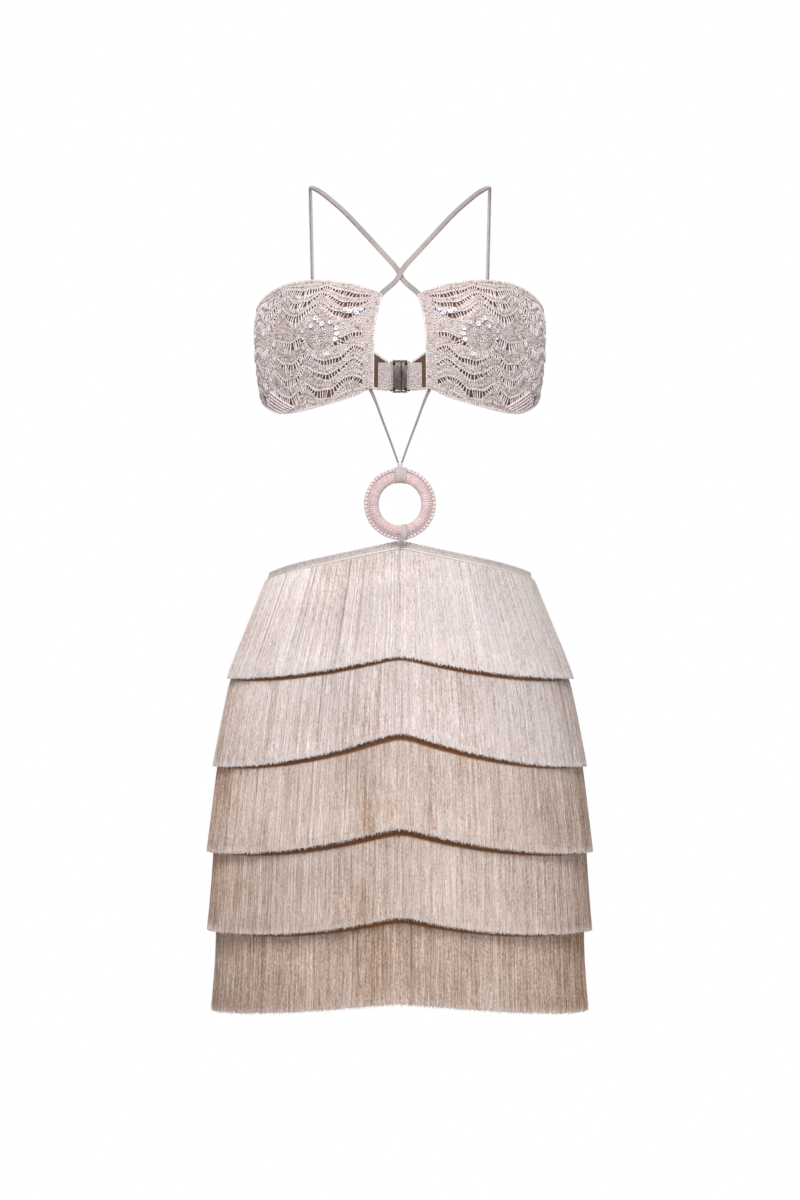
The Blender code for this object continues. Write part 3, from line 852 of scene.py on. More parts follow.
def plain_rows(plan, width, height, pitch, thick, shade):
    """Plain crochet over a whole patch: rows of knit stitches, each pair beside the last."""
    rows = max(round(height / pitch), 1)
    step = height / rows
    columns = max(round(width / pitch), 1)
    for row in range(rows):
        x = (np.arange(columns) + 0.5) * width / columns
        at = np.column_stack([x, np.full(columns, (row + 0.5) * step)])
        plan.add(KNIT_STITCH, at, 0.0, (ROW_LAP * width / columns, ROW_LAP * step, thick), shade)


print("plans ready")

# %% [markdown]
# ## The straps' route
# Each strap leaves one cup's upper corner, crosses the other over the open keyhole, and goes
# over the far shoulder to the back.  The route is given as a list of points, and a smooth curve
# runs through it.

# %% The straps' route
# x, y, z for the strap that lies over the +X shoulder
STRAP_ROUTE = (
    (-0.0230, -0.0922, -0.1205),
    (-0.0170, -0.0900, -0.1125),
    (-0.0040, -0.0884, -0.1010),
    (0.0034, -0.0868, -0.0885),
    (0.0180, -0.0800, -0.0716),
    (0.0336, -0.0700, -0.0538),
    (0.0535, -0.0530, -0.0314),
    (0.0695, -0.0360, -0.0158),
    (0.0784, -0.0250, -0.0080),
    (0.0860, -0.0135, -0.0026),
    (0.0894, -0.0040, -0.0006),
    (0.0897, 0.0060, -0.0026),
    (0.0898, 0.0150, -0.0105),
    (0.0897, 0.0250, -0.0240),
    (0.0894, 0.0440, -0.0520),
    (0.0889, 0.0600, -0.0860),
    (0.0887, 0.0685, -0.1140),
    (0.0887, 0.0716, -0.1380),
    (0.0887, 0.0716, -0.1480),
)
SIDES = (("left", -1.0), ("right", 1.0))


def smooth_route(route, count):
    """Points on a smooth curve through a route's own points, and its length."""
    route = np.asarray(route, float)
    at = measured(route)
    rows = np.column_stack([at, route])
    places = np.linspace(0.0, at[-1], count)
    points = np.stack([read(rows, places, column) for column in (1, 2, 3)], axis=-1)
    return points, length_of(points)


print(f"strap route: {smooth_route(STRAP_ROUTE, 90)[1]:.3f} m")

# %% [markdown]
# ## Straps
# A strap is a narrow knitted tube, pressed flat.  The knit is laid round it as rows of small V
# stitches over a smooth core.  It lies wider in front and is stretched narrower behind.  Its
# front is painted darker and its back paler: painted shade and painted light that even out how
# the lamps fall on it.  Where the two cross, one leans out over the other.

# %% The straps' flat section
STRAP_WIDTH, STRAP_THICK = 0.0050, 0.0014
STRAP_POINTS = 90
STITCH_HALF_X, STITCH_HALF_Y = 0.0007, 0.0005  # how far the knit stands out from the section
STRAP_TURN_Z, STRAP_TURN_X = -0.090, 0.6  # the strap faces out from here, and from this share of x
STRAP_CROSSING, STRAP_CROSSING_SPREAD = 0.0011, 0.013
STRAP_TURNED = (0.48, 0.56)  # where along its length the strap goes over the shoulder
STRAP_SPREAD = (1.15, 0.80)  # how wide it lies in front and behind
# painted light and shade along the strap: its front face painted darker, where the lamps light it most,
# and its back face paler, where it turns down from them
STRAP_PAINTED_LIGHT = (0.0, 0.72)  # its face in front and behind


def strap_frame(side):
    """The strap's path with its across and out directions."""
    path, _ = smooth_route(STRAP_ROUTE, STRAP_POINTS)
    lean = STRAP_CROSSING * np.exp(-((path[:, 0] / STRAP_CROSSING_SPREAD) ** 2))
    path[:, 1] -= side * lean
    path[:, 0] *= side
    along = unit(np.gradient(path, axis=0))
    height = np.minimum(path[:, 2], STRAP_TURN_Z)
    out = path - np.column_stack([STRAP_TURN_X * path[:, 0], np.zeros(len(path)), height])
    across = unit(np.cross(along, out))
    return path, across, unit(np.cross(across, along))


def strap_place(side):
    path, across, out = strap_frame(side)
    at = np.linspace(0.0, 1.0, len(path))

    def place(u, v, offset):
        """u goes round the flat section and v along the strap."""
        angle = math.tau * u
        v = np.clip(v, 0.0, 1.0)

        def follow(values):
            return np.stack([np.interp(v, at, values[:, k]) for k in range(3)], axis=-1)

        spread = np.interp(v, STRAP_TURNED, STRAP_SPREAD)
        half = (STRAP_WIDTH / 2 - STITCH_HALF_X) * spread + offset
        thin = STRAP_THICK / 2 - STITCH_HALF_Y + offset
        side_way = np.sign(np.cos(angle)) * np.abs(np.cos(angle)) ** 0.7 * half
        out_way = np.sin(angle) * thin
        return follow(path) + follow(across) * side_way[..., None] + follow(out) * out_way[..., None]

    return place


print("strap:", STRAP_WIDTH, "m wide and", STRAP_THICK, "m thick")

# %% Straps
KNIT_PITCH, KNIT_COLUMNS = 0.0021, 4
CORE_SIDES, CORE_FLATNESS, CORE_INSET = 8, 0.24, 0.0003


def declare_cord(item, path, length):
    """Prints the cord's length.  Both its ends are sewn to the dress, and it is taut between them."""
    tuple(path[0])
    [tuple(point) for point in path]
    print(f"{item.name}: {length:.3f} m")


def add_strap(tag, side):
    place = strap_place(side)
    path = strap_frame(side)[0]
    length = length_of(path)
    girth = 2 * STRAP_WIDTH
    cloth = cloth_guide(place, 40, STRAP_POINTS, 0.05)
    plan = Plan(seed=11)
    rows = round(length / KNIT_PITCH)
    y = (np.arange(rows) + 0.5) * length / rows
    # Painted light and shade: the stitches are darker in front and paler behind.
    shade = np.interp(y / length, STRAP_TURNED, STRAP_PAINTED_LIGHT)
    size = (girth / KNIT_COLUMNS, 1.15 * KNIT_PITCH, 0.0007)
    for column in range(KNIT_COLUMNS):
        at = np.column_stack([np.full(rows, (column + 0.5) * girth / KNIT_COLUMNS), y])
        plan.add(KNIT_STITCH, at, 0.0, size, shade)
    meshes = plan.laid(cloth, girth, length, STRAP_YARN)
    at = np.linspace(0.0, 1.0, len(path))
    wide = (STRAP_WIDTH / 2 - CORE_INSET) * np.interp(at, STRAP_TURNED, STRAP_SPREAD)
    core = tube_mesh("core", path, wide, CORE_SIDES, STRAP_YARN, CORE_FLATNESS)
    # The core takes the same painted light and shade.
    core_painted_light = np.repeat(np.interp(at, STRAP_TURNED, STRAP_PAINTED_LIGHT), CORE_SIDES)
    strap = join(f"strap_{tag}_knit", [shaded(core, core_painted_light, 0.8), *meshes])
    place_piece(strap, "knit_strap", f"strap_{tag}")
    declare_cord(strap, path, length)


for tag, side in SIDES:
    add_strap(tag, side)

# %% [markdown]
# ## Ring cords
# Two thin cords come out from behind the cups' lower corners and meet at a loop on the ring.
# They are twisted, so each is three plies wound round the route, and they taper towards the
# ring.

# %% Ring cords
# x, y, z for the cord on the +X side
CORD_ROUTE = (
    (0.0335, -0.0949, -0.1990),
    (0.0300, -0.0933, -0.2055),
    (0.0267, -0.0920, -0.2120),
    (0.0228, -0.0930, -0.2215),
    (0.0186, -0.0946, -0.2332),
    (0.0089, -0.0965, -0.2592),
    (0.0017, -0.0970, -0.2794),
)
CORD_DIAMETER = 0.0024
CORD_PLIES = 3
CORD_LAY = 0.0075  # length of one turn of the twist
CORD_TAPER = ((0.0, 0.35, 1.0), (1.6, 1.05, 0.8))  # its thickness at shares of its length
PLY_REACH, PLY_RADIUS, PLY_SIDES = 0.52, 0.56, 5  # shares of the cord's radius, and the section


def twisted(path, radius, plies, lay):
    """The plies of a twisted cord round a path: each one's own path and radius."""
    length = measured(path)
    along = unit(np.gradient(path, axis=0))
    across = unit(np.cross(along, (0.0, -1.0, 0.1)))
    out = np.cross(across, along)
    radius = np.broadcast_to(radius, len(path))
    made = []
    for ply in range(plies):
        angle = math.tau * (ply / plies + length / lay)
        spread = across * np.cos(angle)[:, None] + out * np.sin(angle)[:, None]
        made.append((path + spread * (radius * PLY_REACH)[:, None], radius * PLY_RADIUS))
    return made


def add_ring_cord(tag, side):
    path, length = smooth_route(CORD_ROUTE, 110)
    path[:, 0] *= side
    taper = np.interp(np.linspace(0.0, 1.0, len(path)), *CORD_TAPER)
    plies = twisted(path, CORD_DIAMETER / 2 * taper, CORD_PLIES, CORD_LAY)
    tubes = [tube_mesh("ply", *ply, PLY_SIDES, CORD_YARN) for ply in plies]
    meshes = [shaded(tube, 0.12 * i, 0.14) for i, tube in enumerate(tubes)]
    cord = join(f"ring_cord_{tag}_twist", meshes)
    place_piece(cord, "knit_strap", f"ring_cord_{tag}")
    declare_cord(cord, path, length)


for tag, side in SIDES:
    add_ring_cord(tag, side)

# %% [markdown]
# ## The open places of the top
# The cups are mirrored about the keyhole.  A cup's plan runs out from the keyhole's edge to the
# side seam and up from the lower edge.  The wings carry on from the side seams to the clasp.

# %% Places on the top
KEYHOLE_HALF, KEYHOLE_NECK, KEYHOLE_BEND, KEYHOLE_CORNER = 0.0262, 0.0176, -0.155, -0.1143
STRIP_WIDTH, SEAM_GAP, SEAM_TURN = 0.0110, 0.0003, 0.1
LINING, LACE_FOOT = (0.0, 0.0010), 0.0013  # off the figure
LINING_INSET = 0.0010
WING_END_X = 0.0123
SETTLING = 3  # passes in which a place's turn and height settle on each other


def keyhole_x(height):
    rise = np.clip((height - KEYHOLE_BEND) / (KEYHOLE_CORNER - KEYHOLE_BEND), 0.0, 1.0)
    return mix(KEYHOLE_HALF, KEYHOLE_NECK, rise**1.5)


def turn_at(x, height):
    return np.degrees(np.arcsin(x / read(CHEST, height, 1)))


def cup_place(side, near, far=None):
    """Places on a cup between two distances from the keyhole's edge, or to the side seam."""

    def place(u, v, offset):
        turn = mix(turn_at(KEYHOLE_HALF, KEYHOLE_BEND), 90.0, u)
        for _ in range(SETTLING):
            height = mix(read(TOP_EDGES, turn, 2), read(TOP_EDGES, turn, 1), v)
            start = turn_at(keyhole_x(height) + near, height)
            end = turn_at(keyhole_x(height) + far, height) if far else 90.0 - SEAM_TURN
            turn = mix(start, end, u)
        return lifted(chest, side * turn, height, offset)

    return place


def wing_place(side):
    def place(u, v, offset):
        height = -0.180
        for _ in range(SETTLING):
            end = 180.0 - turn_at(WING_END_X, height)
            turn = mix(90.0 + SEAM_TURN, end, u)
            height = mix(read(TOP_EDGES, turn, 2), read(TOP_EDGES, turn, 1), v)
        return lifted(chest, side * turn, height, offset)

    return place


def spans(place):
    """A place's width half way up and its mean height, in metres."""
    share = np.linspace(0.0, 1.0, 41)
    width = length_of(place(share, np.full(41, 0.5), np.zeros(41)))
    heights = [length_of(place(np.full(41, u), share, np.zeros(41))) for u in (0.1, 0.3, 0.5, 0.7, 0.9)]
    return width, float(np.mean(heights))


print("cup lace:", spans(cup_place(1.0, STRIP_WIDTH)), "wing:", spans(wing_place(1.0)))

# %% [markdown]
# ## Crochet lace on the cups
# The lace is worked in waves.  Bands of close stitches lie between ladders, where long posts
# stand apart and the lining shows, painted dark brown as painted shade, and a round motif
# pushes the waves aside.  Each ladder is a row of a short table.

# %% The lace's measures
# share_up_the_cup, ladder_height, wave_height
CUP_LADDERS = (
    (0.150, 0.0078, 0.0044),
    (0.285, 0.0056, 0.0050),
    (0.400, 0.0058, 0.0046),
    (0.545, 0.0066, 0.0022),
    (0.755, 0.0060, 0.0050),
    (0.850, 0.0052, 0.0044),
    (0.930, 0.0048, 0.0026),
)
WING_LADDERS = ((0.24, 0.0062, 0.0040), (0.52, 0.0060, 0.0044), (0.80, 0.0054, 0.0034))
WAVE_LENGTH, WAVE_START, WAVE_DRIFT = 0.046, 0.040, -0.2
WAVE_FADE = 0.012  # how near an edge the waves flatten
RIPPLE, RIPPLE_LENGTH = 0.0006, 0.017  # a smaller wave that each ladder has at its own place
LACE_MARGIN, EDGE_ROW = 0.0006, 0.0009  # in from an edge, for the close rows and the edge row
GROUND = 0.0005
LACE_LOOSE = 1.5  # how uneven the handwork is
DROPPED_NEAR, DROPPED_FURTHER = 0.04, 0.12  # the share of stitches left out, as small eyelets
MEDALLION_X, MEDALLION_Z, MEDALLION_RADIUS = 0.0786, -0.1540, 0.0165
MEDALLION_RINGS = (0.0016, 0.0040, 0.0088, 0.0109, 0.0130, 0.0151)
MEDALLION_PITCH, EYELET_RADIUS, EYELETS = 0.0022, 0.0076, 14
HOLE_X, HOLE_Z, HOLE_WIDE, HOLE_DEEP = 0.1335, -0.2110, 0.0045, 0.0058
CORNER_CORDS = 6
# where the first cord starts and ends, as x and z, and how far the next one lies from it
CORNER_START, CORNER_END = np.array((0.1271, -0.2064)), np.array((0.1028, -0.2239))
START_STEP, END_STEP = np.array((0.0006, -0.0030)), np.array((0.0025, -0.0010))
print("ladders:", len(CUP_LADDERS), "up a cup and", len(WING_LADDERS), "up a wing")

# %% [markdown]
# ## The lines that the lace follows
# A ladder's upper and lower edges are waves over the flat plan, and the motif pushes every line
# aside.  Stitches stand at an even pitch along a line, so the line is measured after the push.

# %% The lace's lines
class LaceLines:
    """The waved lines of one piece of lace, planned flat."""

    def __init__(self, place, ladders, centre, hole):
        self.place, self.ladders = place, ladders
        self.centre, self.hole = centre, hole
        self.width, self.height = spans(place)

    def phase(self, x, y):
        return math.tau * (x - WAVE_START - WAVE_DRIFT * y) / WAVE_LENGTH

    def ladder_top(self, ladder, x):
        share, _, swing = ladder
        y = share * self.height
        fade = np.clip(min(y, self.height - y) / WAVE_FADE, 0.2, 1.0)
        phase = self.phase(x, y)
        ripple = RIPPLE * np.sin(math.tau * x / RIPPLE_LENGTH + 40.0 * share)
        return y + fade * (swing * (0.2 * np.cos(2 * phase) - np.cos(phase)) + ripple)

    def ladder_foot(self, ladder, x):
        """Ladders are tallest in the troughs."""
        trough = 0.5 + 0.5 * np.cos(self.phase(x, ladder[0] * self.height))
        foot = self.ladder_top(ladder, x) - ladder[1] * (0.62 + 0.45 * trough)
        if self.hole is not None and ladder is self.ladders[0]:
            foot = foot - HOLE_DEEP * np.exp(-(((x - self.hole) / HOLE_WIDE) ** 4))
        return foot

    def pushed(self, x, y):
        """Where a planned point lands beside the round motif."""
        points = np.column_stack([x, y])
        if self.centre is None:
            return points
        away = points - self.centre
        distance = np.linalg.norm(away, axis=1) + 1e-9
        target = (distance**3 + MEDALLION_RADIUS**3) ** (1 / 3)
        return self.centre + away * (target / distance)[:, None]

    def bands(self):
        """The lower and upper line of each band of close stitches."""
        lower = lambda x: np.full(x.shape, LACE_MARGIN)
        for ladder in self.ladders:
            yield lower, lambda x, ladder=ladder: self.ladder_foot(ladder, x)
            lower = lambda x, ladder=ladder: self.ladder_top(ladder, x)
        yield lower, lambda x: np.full(x.shape, self.height - LACE_MARGIN)

    def paced(self, x, points, pitch):
        """Places at an even pitch along a line of points: x before the push, point, angle."""
        at = measured(points)
        count = max(round(at[-1] / pitch), 2)
        stops = (np.arange(count) + 0.5) * at[-1] / count
        places = np.column_stack([np.interp(stops, at, points[:, k]) for k in (0, 1)])
        slope = np.gradient(points, axis=0)
        angle = np.interp(stops, at, np.arctan2(slope[:, 1], slope[:, 0]))
        return np.interp(stops, at, x), places, angle

    def along(self, line, pitch):
        x = np.linspace(0.0, self.width, 500)
        return self.paced(x, self.pushed(x, line(x)), pitch)

    def clear_of_motif(self, places):
        if self.centre is None:
            return np.full(len(places), True)
        return np.linalg.norm(places - self.centre, axis=1) > MEDALLION_RADIUS + LACE_MARGIN

    def circle(self, radius, count):
        angle = math.tau * (np.arange(count) + 0.5) / count
        return self.centre + radius * np.column_stack([np.cos(angle), np.sin(angle)]), angle


print("lace lines ready")

# %% [markdown]
# ## The lace's stitches
# Close rows are read between one ladder's edge and the next one's, so they squeeze and spread
# as crochet does.  Posts hang from a chained line, and run on as ribs in its troughs.  The
# motif is rings of stitches round an eyelet ring, and larger stitches finish the edges.

# %% The lace's stitches
class LaceStitches(LaceLines):
    """The stitches along the lines."""

    def __init__(self, place, ladders, pitch, centre, hole, seed):
        super().__init__(place, ladders, centre, hole)
        self.pitch = pitch
        self.plan = Plan(seed, loose=LACE_LOOSE)

    def close_rows(self, lower, upper):
        """Rows between two pushed lines, left out under the motif."""
        x = np.linspace(0.0, self.width, 500)
        low, high = self.pushed(x, lower(x)), self.pushed(x, upper(x))
        depth = np.linalg.norm(high - low, axis=1)
        rows = max(round(float(np.median(depth)) / (self.pitch * 0.9)), 1)
        for row in range(rows):
            points = mix(low, high, (row + 0.5) / rows)
            at, places, angle = self.paced(x, points, self.pitch)
            tall = np.interp(at, x, depth) / rows
            dropped = DROPPED_NEAR + DROPPED_FURTHER * at / self.width
            keep = self.clear_of_motif(places) & (self.plan.chance.random(len(at)) > dropped)
            thick = np.full(len(at), 0.0017 + 0.0004 * (row % 2))
            size = np.column_stack([np.full(len(at), 1.08 * self.pitch), 1.15 * tall, thick])
            # Painted shade: stitches darken across the plan from its start, so a cup darkens towards its
            # side seam, which turns from the light, and a wing darkens the same way towards its clasp
            # end.
            shade = 0.92 + 0.12 * (row % 2) - 0.95 * at / self.width
            self.plan.add(KNIT_STITCH, places[keep], angle[keep], size[keep], shade[keep])

    def ladder(self, ladder):
        top = lambda x: self.ladder_top(ladder, x)
        x, places, angle = self.along(top, self.pitch * 1.04)
        tall = self.ladder_top(ladder, x) - self.ladder_foot(ladder, x)
        trough = np.clip(np.cos(self.phase(x, ladder[0] * self.height)), 0.0, 1.0)
        reach = 1.1 * tall + 0.0014 + 0.0042 * trough**1.5
        reach = np.minimum(reach, np.maximum(places[:, 1] - 0.0012, 0.001))
        size = np.column_stack([np.full(len(x), 0.0010), reach, np.full(len(x), 0.0024)])
        keep = np.full(len(x), True)
        if self.hole is not None and ladder is self.ladders[0]:
            keep = np.abs(x - self.hole) > HOLE_WIDE
        # The posts and the chained line take the same painted shade across the plan.
        shade = 0.8 - 0.45 * x / self.width
        self.plan.add(POST, places[keep], 0.9 * angle[keep] + 0.12, size[keep], shade[keep])
        x, places, angle = self.along(top, self.pitch)
        shade = 0.85 - 0.4 * x / self.width
        self.plan.add(CHAIN_STITCH, places, angle, (1.1 * self.pitch, 0.0016, 0.0020), shade)

    def medallion(self):
        for ring, radius in enumerate(MEDALLION_RINGS):
            count = max(round(math.tau * radius / MEDALLION_PITCH), 5)
            places, angle = self.circle(radius, count)
            size = (1.12 * math.tau * radius / count, 0.0026, 0.0014)
            self.plan.add(KNIT_STITCH, places, angle - math.pi / 2, size, 0.8 - 0.1 * (ring % 2))
        places, angle = self.circle(EYELET_RADIUS, EYELETS)
        self.plan.add(POST, places, angle - math.pi / 2, (0.0021, 0.0025, 0.0014), 0.7)

    def border(self):
        for y in (EDGE_ROW, self.height - EDGE_ROW):
            _, places, angle = self.along(lambda x, y=y: np.full(x.shape, y), self.pitch)
            self.plan.add(CHAIN_STITCH, places, angle, (1.1 * self.pitch, 0.0020, 0.0017), 0.75)


print("lace stitches ready")

# %% [markdown]
# ## Rolled edges and cords
# A rolled edge is a tube along a line of the plan, with a swelling at each stitch.  It also
# closes the gap to the lining.  The thick cords at the corner are rolls too.

# %% Rolled edges
EDGE_SIDES, EDGE_SWELL = 8, 0.12


def raised(place, lift):
    return lambda u, v, offset: place(u, v, offset + lift)


def flat_centre(place, x, z):
    """Where a point of the front view lies on the flat plan."""
    u, v = np.meshgrid(np.linspace(0, 1, 160), np.linspace(0, 1, 120), indexing="ij")
    points = place(u, v, np.zeros(u.shape))
    miss = (np.abs(points[..., 0]) - x) ** 2 + (points[..., 2] - z) ** 2
    i, j = np.unravel_index(np.argmin(miss), miss.shape)
    width, height = spans(place)
    return np.array([u[i, j] * width, v[i, j] * height])


def edge_roll(place, line, radius, count, lift, pitch=0.0022):
    """The line gives u and v for each share of the edge's length."""
    share = np.linspace(0.0, 1.0, count)
    u, v = line(share)
    path = place(u, v, np.full(count, lift))
    swell = radius * (1.0 + EDGE_SWELL * np.sin(math.tau * measured(path) / pitch))
    return shaded(tube_mesh("roll", path, swell, EDGE_SIDES, CROCHET), 0.5, 0.8)


print("rolls ready")

# %% [markdown]
# ## Working the lace
# A thin ground under each band keeps the close stitches from showing the lining.  It is laid in
# rows so that it follows the cloth.  Then the plan grows into stitches, and all is joined.

# %% The lace
GROUND_ROW = 0.004  # the most that a row of the ground may span
GROUND_COLUMNS = 84


class Lace(LaceStitches):
    """One whole piece of lace."""

    def ground(self):
        grounds = []
        x = np.linspace(0.0, self.width, GROUND_COLUMNS)
        for lower, upper in self.bands():
            low, high = self.pushed(x, lower(x)), self.pushed(x, upper(x))
            rows = math.ceil(float(np.max(np.linalg.norm(high - low, axis=1))) / GROUND_ROW)
            lines = [mix(low, high, row / rows) for row in range(rows + 1)]
            grounds.append(self.sheet(lines))
        return grounds

    def sheet(self, lines):
        """A thin closed sheet through lines of flat points, each line above the last."""
        corners = []
        for line, height in [(line, 0.0) for line in lines] + [(line, GROUND) for line in lines[::-1]]:
            flat = line / (self.width, self.height)
            corners.append(self.place(flat[:, 0], flat[:, 1], np.full(len(flat), height)))
        points = np.stack(corners, axis=1).reshape(-1, 3)
        faces = tube_faces(len(lines[0]), len(corners), closed=False)
        # The ground's low lift paints it with the deep tone, as painted shade between the stitches.
        return shaded(make_mesh("ground", points, faces, CROCHET), 0.5, 0.34)

    def corner_cords(self):
        cords, size = [], (self.width, self.height)
        for k in range(CORNER_CORDS):
            start = flat_centre(self.place, *(CORNER_START + k * START_STEP)) / size
            end = flat_centre(self.place, *(CORNER_END + k * END_STEP)) / size
            line = lambda s, start=start, end=end: (mix(start[0], end[0], s), mix(start[1], end[1], s))
            cords.append(edge_roll(self.place, line, 0.0011, 30, 0.0017, 0.004))
        return cords

    def rolled_edges(self, lift, radius):
        rolls = []
        for edge in (0.0, 1.0):
            line = lambda s, edge=edge: (s, np.full(s.shape, edge))
            rolls.append(edge_roll(self.place, line, radius, 160, lift))
        return rolls

    def work(self, name, rolls):
        for lower, upper in self.bands():
            self.close_rows(lower, upper)
        for ladder in self.ladders:
            self.ladder(ladder)
        grounds = self.ground()
        self.border()
        if self.centre is not None:
            self.medallion()
        guide = cloth_guide(self.place, 150, 90)
        meshes = self.plan.laid(guide, self.width, self.height, CROCHET)
        return join(name, meshes + rolls + grounds)


print("lace ready")

# %% [markdown]
# ## Cups
# Each cup is lace from the keyhole's strip round to the side seam, with the motif, the cords
# and a small hole at its lower outer corner.

# %% Cups
def add_cup(tag, side):
    place = raised(cup_place(side, STRIP_WIDTH), LACE_FOOT)
    centre = flat_centre(place, MEDALLION_X, MEDALLION_Z)
    hole = flat_centre(place, HOLE_X, HOLE_Z)[0]
    lace = Lace(place, CUP_LADDERS, 0.0027, centre, hole, seed=5)
    rolls = lace.corner_cords() + lace.rolled_edges(-0.0002, 0.0009)
    cup = lace.work(f"cup_{tag}_lace", rolls)
    place_piece(cup, "crochet", f"cup_{tag}")
    return cup, lace


cups = {tag: add_cup(tag, side) for tag, side in SIDES}

# %% [markdown]
# ## Keyhole strips
# A plain strip edges the keyhole on each cup.  Its stitches run up and down in close rows, and
# its edges are rolled over the lining.

# %% Keyhole strips
def add_strip(tag, side):
    place = raised(cup_place(side, 0.0, STRIP_WIDTH - SEAM_GAP), LACE_FOOT)
    width, height = spans(place)
    plan = Plan(seed=8, loose=1.8)
    plain_rows(plan, width, height, 0.0026, thick=0.0015, shade=0.78)
    guide = cloth_guide(place, 20, 90)
    meshes = plan.laid(guide, width, height, CROCHET)
    ground = wall_mesh("ground", place, 8, 60, even(0.0), even(GROUND), False, CROCHET)
    roll = edge_roll(place, lambda s: (0.0 * s, s), 0.0008, 110, 0.0002)
    strip = join(f"cup_strip_{tag}_crochet", [*meshes, shaded(ground, 0.6, 0.42), roll])
    return place_piece(strip, "crochet", f"cup_strip_{tag}")


strips = {tag: add_strip(tag, side) for tag, side in SIDES}

# %% [markdown]
# ## Sequins
# Clear sequins are sewn round the motif, mostly above it, and in a small group nearer the
# keyhole.  Each is a dished disc with a hole, tipped a little its own way, so that a few catch
# the light.  Their places are listed one by one, since a rule would show as one.

# %% Sequins
# out_from_the_keyhole, up, from the motif's centre, and the film's shade
SEQUIN_PLACES = (
    (0.0042, 0.0152, 0.9), (0.0075, 0.0084, 0.8), (-0.0030, 0.0094, 0.9), (0.0004, 0.0128, 0.4),
    (-0.0110, 0.0104, 0.3), (-0.0168, 0.0046, 0.5), (-0.0176, -0.0006, 0.8), (-0.0160, -0.0058, 1.0),
    (-0.0088, -0.0182, 1.0), (0.0160, 0.0050, 0.2), (0.0198, 0.0004, 0.2), (0.0150, -0.0100, 0.1),
    (-0.0216, 0.0232, 0.4), (-0.0258, 0.0214, 0.8), (-0.0296, 0.0240, 0.4), (-0.0318, 0.0208, 0.2),
    (-0.0348, 0.0252, 0.5),
)
SEQUIN_SIZE, SEQUIN_LIFT, SEQUIN_TIP = 0.0044, 0.0021, 2.2
SEQUIN_SIDES = 12
SEQUIN_SECTION = ((0.16, 0.02), (0.5, 0.14), (0.5, 0.18), (0.16, 0.07))  # radius and height


def sequin_shape():
    """A thin dished disc with a hole, one unit across."""
    points = []
    for k in range(SEQUIN_SIDES):
        angle = math.tau * k / SEQUIN_SIDES
        points += [(r * math.cos(angle), r * math.sin(angle), z) for r, z in SEQUIN_SECTION]
    faces = tube_faces(SEQUIN_SIDES, len(SEQUIN_SECTION), closed=True)
    return link("sequin", make_mesh("sequin", points, faces))


def sequin_finish():
    material, shader, net = finish("sequin", 0.12, specular=0.8)
    shader.inputs["Coat Weight"].default_value = 1.0
    shader.inputs["Coat Roughness"].default_value = 0.05
    glint = net.noise(object_place(net), 260.0, 1.0)
    pearl = net.blend(net.clamped(glint * 2.4 - 0.7), tone(214, 198, 206), tone(204, 206, 222))
    net.feed(shader.inputs["Base Color"], net.blend(attribute(net, "shade"), pearl, tone(244, 244, 248)))
    return material


SEQUIN, SEQUIN_FILM = sequin_shape(), sequin_finish()


def add_sequins(tag, lace):
    plan = Plan(seed=21)
    for out, up, shade in SEQUIN_PLACES:
        place = lace.centre + np.array([out, up])
        plan.add(SEQUIN, place[None, :], 0.0, SEQUIN_SIZE, shade)
    for at, turn, _, _ in plan.rows[SEQUIN]:
        at[:, 2] += SEQUIN_LIFT
        turn[:, :2] *= SEQUIN_TIP
    guide = cloth_guide(lace.place, 150, 90)
    meshes = plan.laid(guide, lace.width, lace.height, SEQUIN_FILM)
    return place_piece(join(f"sequins_{tag}", meshes), "crochet")


sequins = {tag: add_sequins(tag, cups[tag][1]) for tag, _ in SIDES}

# %% [markdown]
# ## Wings and folded ends
# The back of the top is two wings of the same lace, which narrow to the clasp.  Each wing's end
# folds round the clasp's bar, as a long U that is planned flat and carried round its bend.

# %% Wings
def add_wing(tag, side):
    lace = Lace(raised(wing_place(side), LACE_FOOT), WING_LADDERS, 0.0030, None, None, seed=6)
    rolls = lace.rolled_edges(-0.0008, 0.0012)
    wing = lace.work(f"wing_{tag}_lace", rolls)
    return place_piece(wing, "crochet", f"wing_{tag}")


wings = {tag: add_wing(tag, side) for tag, side in SIDES}

# %% Folded ends
CLASP_TOP, CLASP_BOTTOM, CLASP_BAR = -0.1669, -0.2011, 0.0030
TAB_REACH_X, TAB_TURN_X, TAB_HALF = 0.0225, 0.0087, 0.0026
TAB_MIDDLE, TAB_HALF_WALL, TAB_BEND = 0.0013, 0.0004, 0.0012
SLOPE_STEP = 2e-4


def tab_place(side):
    """u goes round the fold, from the inner end to the outer, and v goes up."""
    bend = np.linspace(-math.pi / 2, math.pi / 2, 9)
    turn_x = TAB_TURN_X - 0.0005 + TAB_BEND
    outline = [(TAB_REACH_X, -TAB_HALF)]
    outline += [(turn_x - TAB_BEND * math.cos(angle), TAB_HALF * math.sin(angle)) for angle in bend]
    outline.append((TAB_REACH_X, TAB_HALF))
    outline = np.array(outline)
    at = measured(outline)
    length = float(at[-1])
    low, high = CLASP_BOTTOM + CLASP_BAR + SEAM_GAP, CLASP_TOP - CLASP_BAR - SEAM_GAP

    def place(u, v, offset):
        s = np.clip(u, 0.0, 1.0) * length
        x, depth = (np.interp(s, at, outline[:, k]) for k in (0, 1))
        ahead = [np.interp(s + SLOPE_STEP, at, outline[:, k]) for k in (0, 1)]
        behind = [np.interp(s - SLOPE_STEP, at, outline[:, k]) for k in (0, 1)]
        slope = np.subtract(ahead, behind)
        size = np.hypot(*slope)
        x, depth = x + offset * -slope[1] / size, depth + offset * slope[0] / size
        height = mix(low, high, v)
        turn = 180.0 - turn_at(x, height)
        return lifted(chest, side * turn, height, TAB_MIDDLE + depth)

    return place, length, high - low


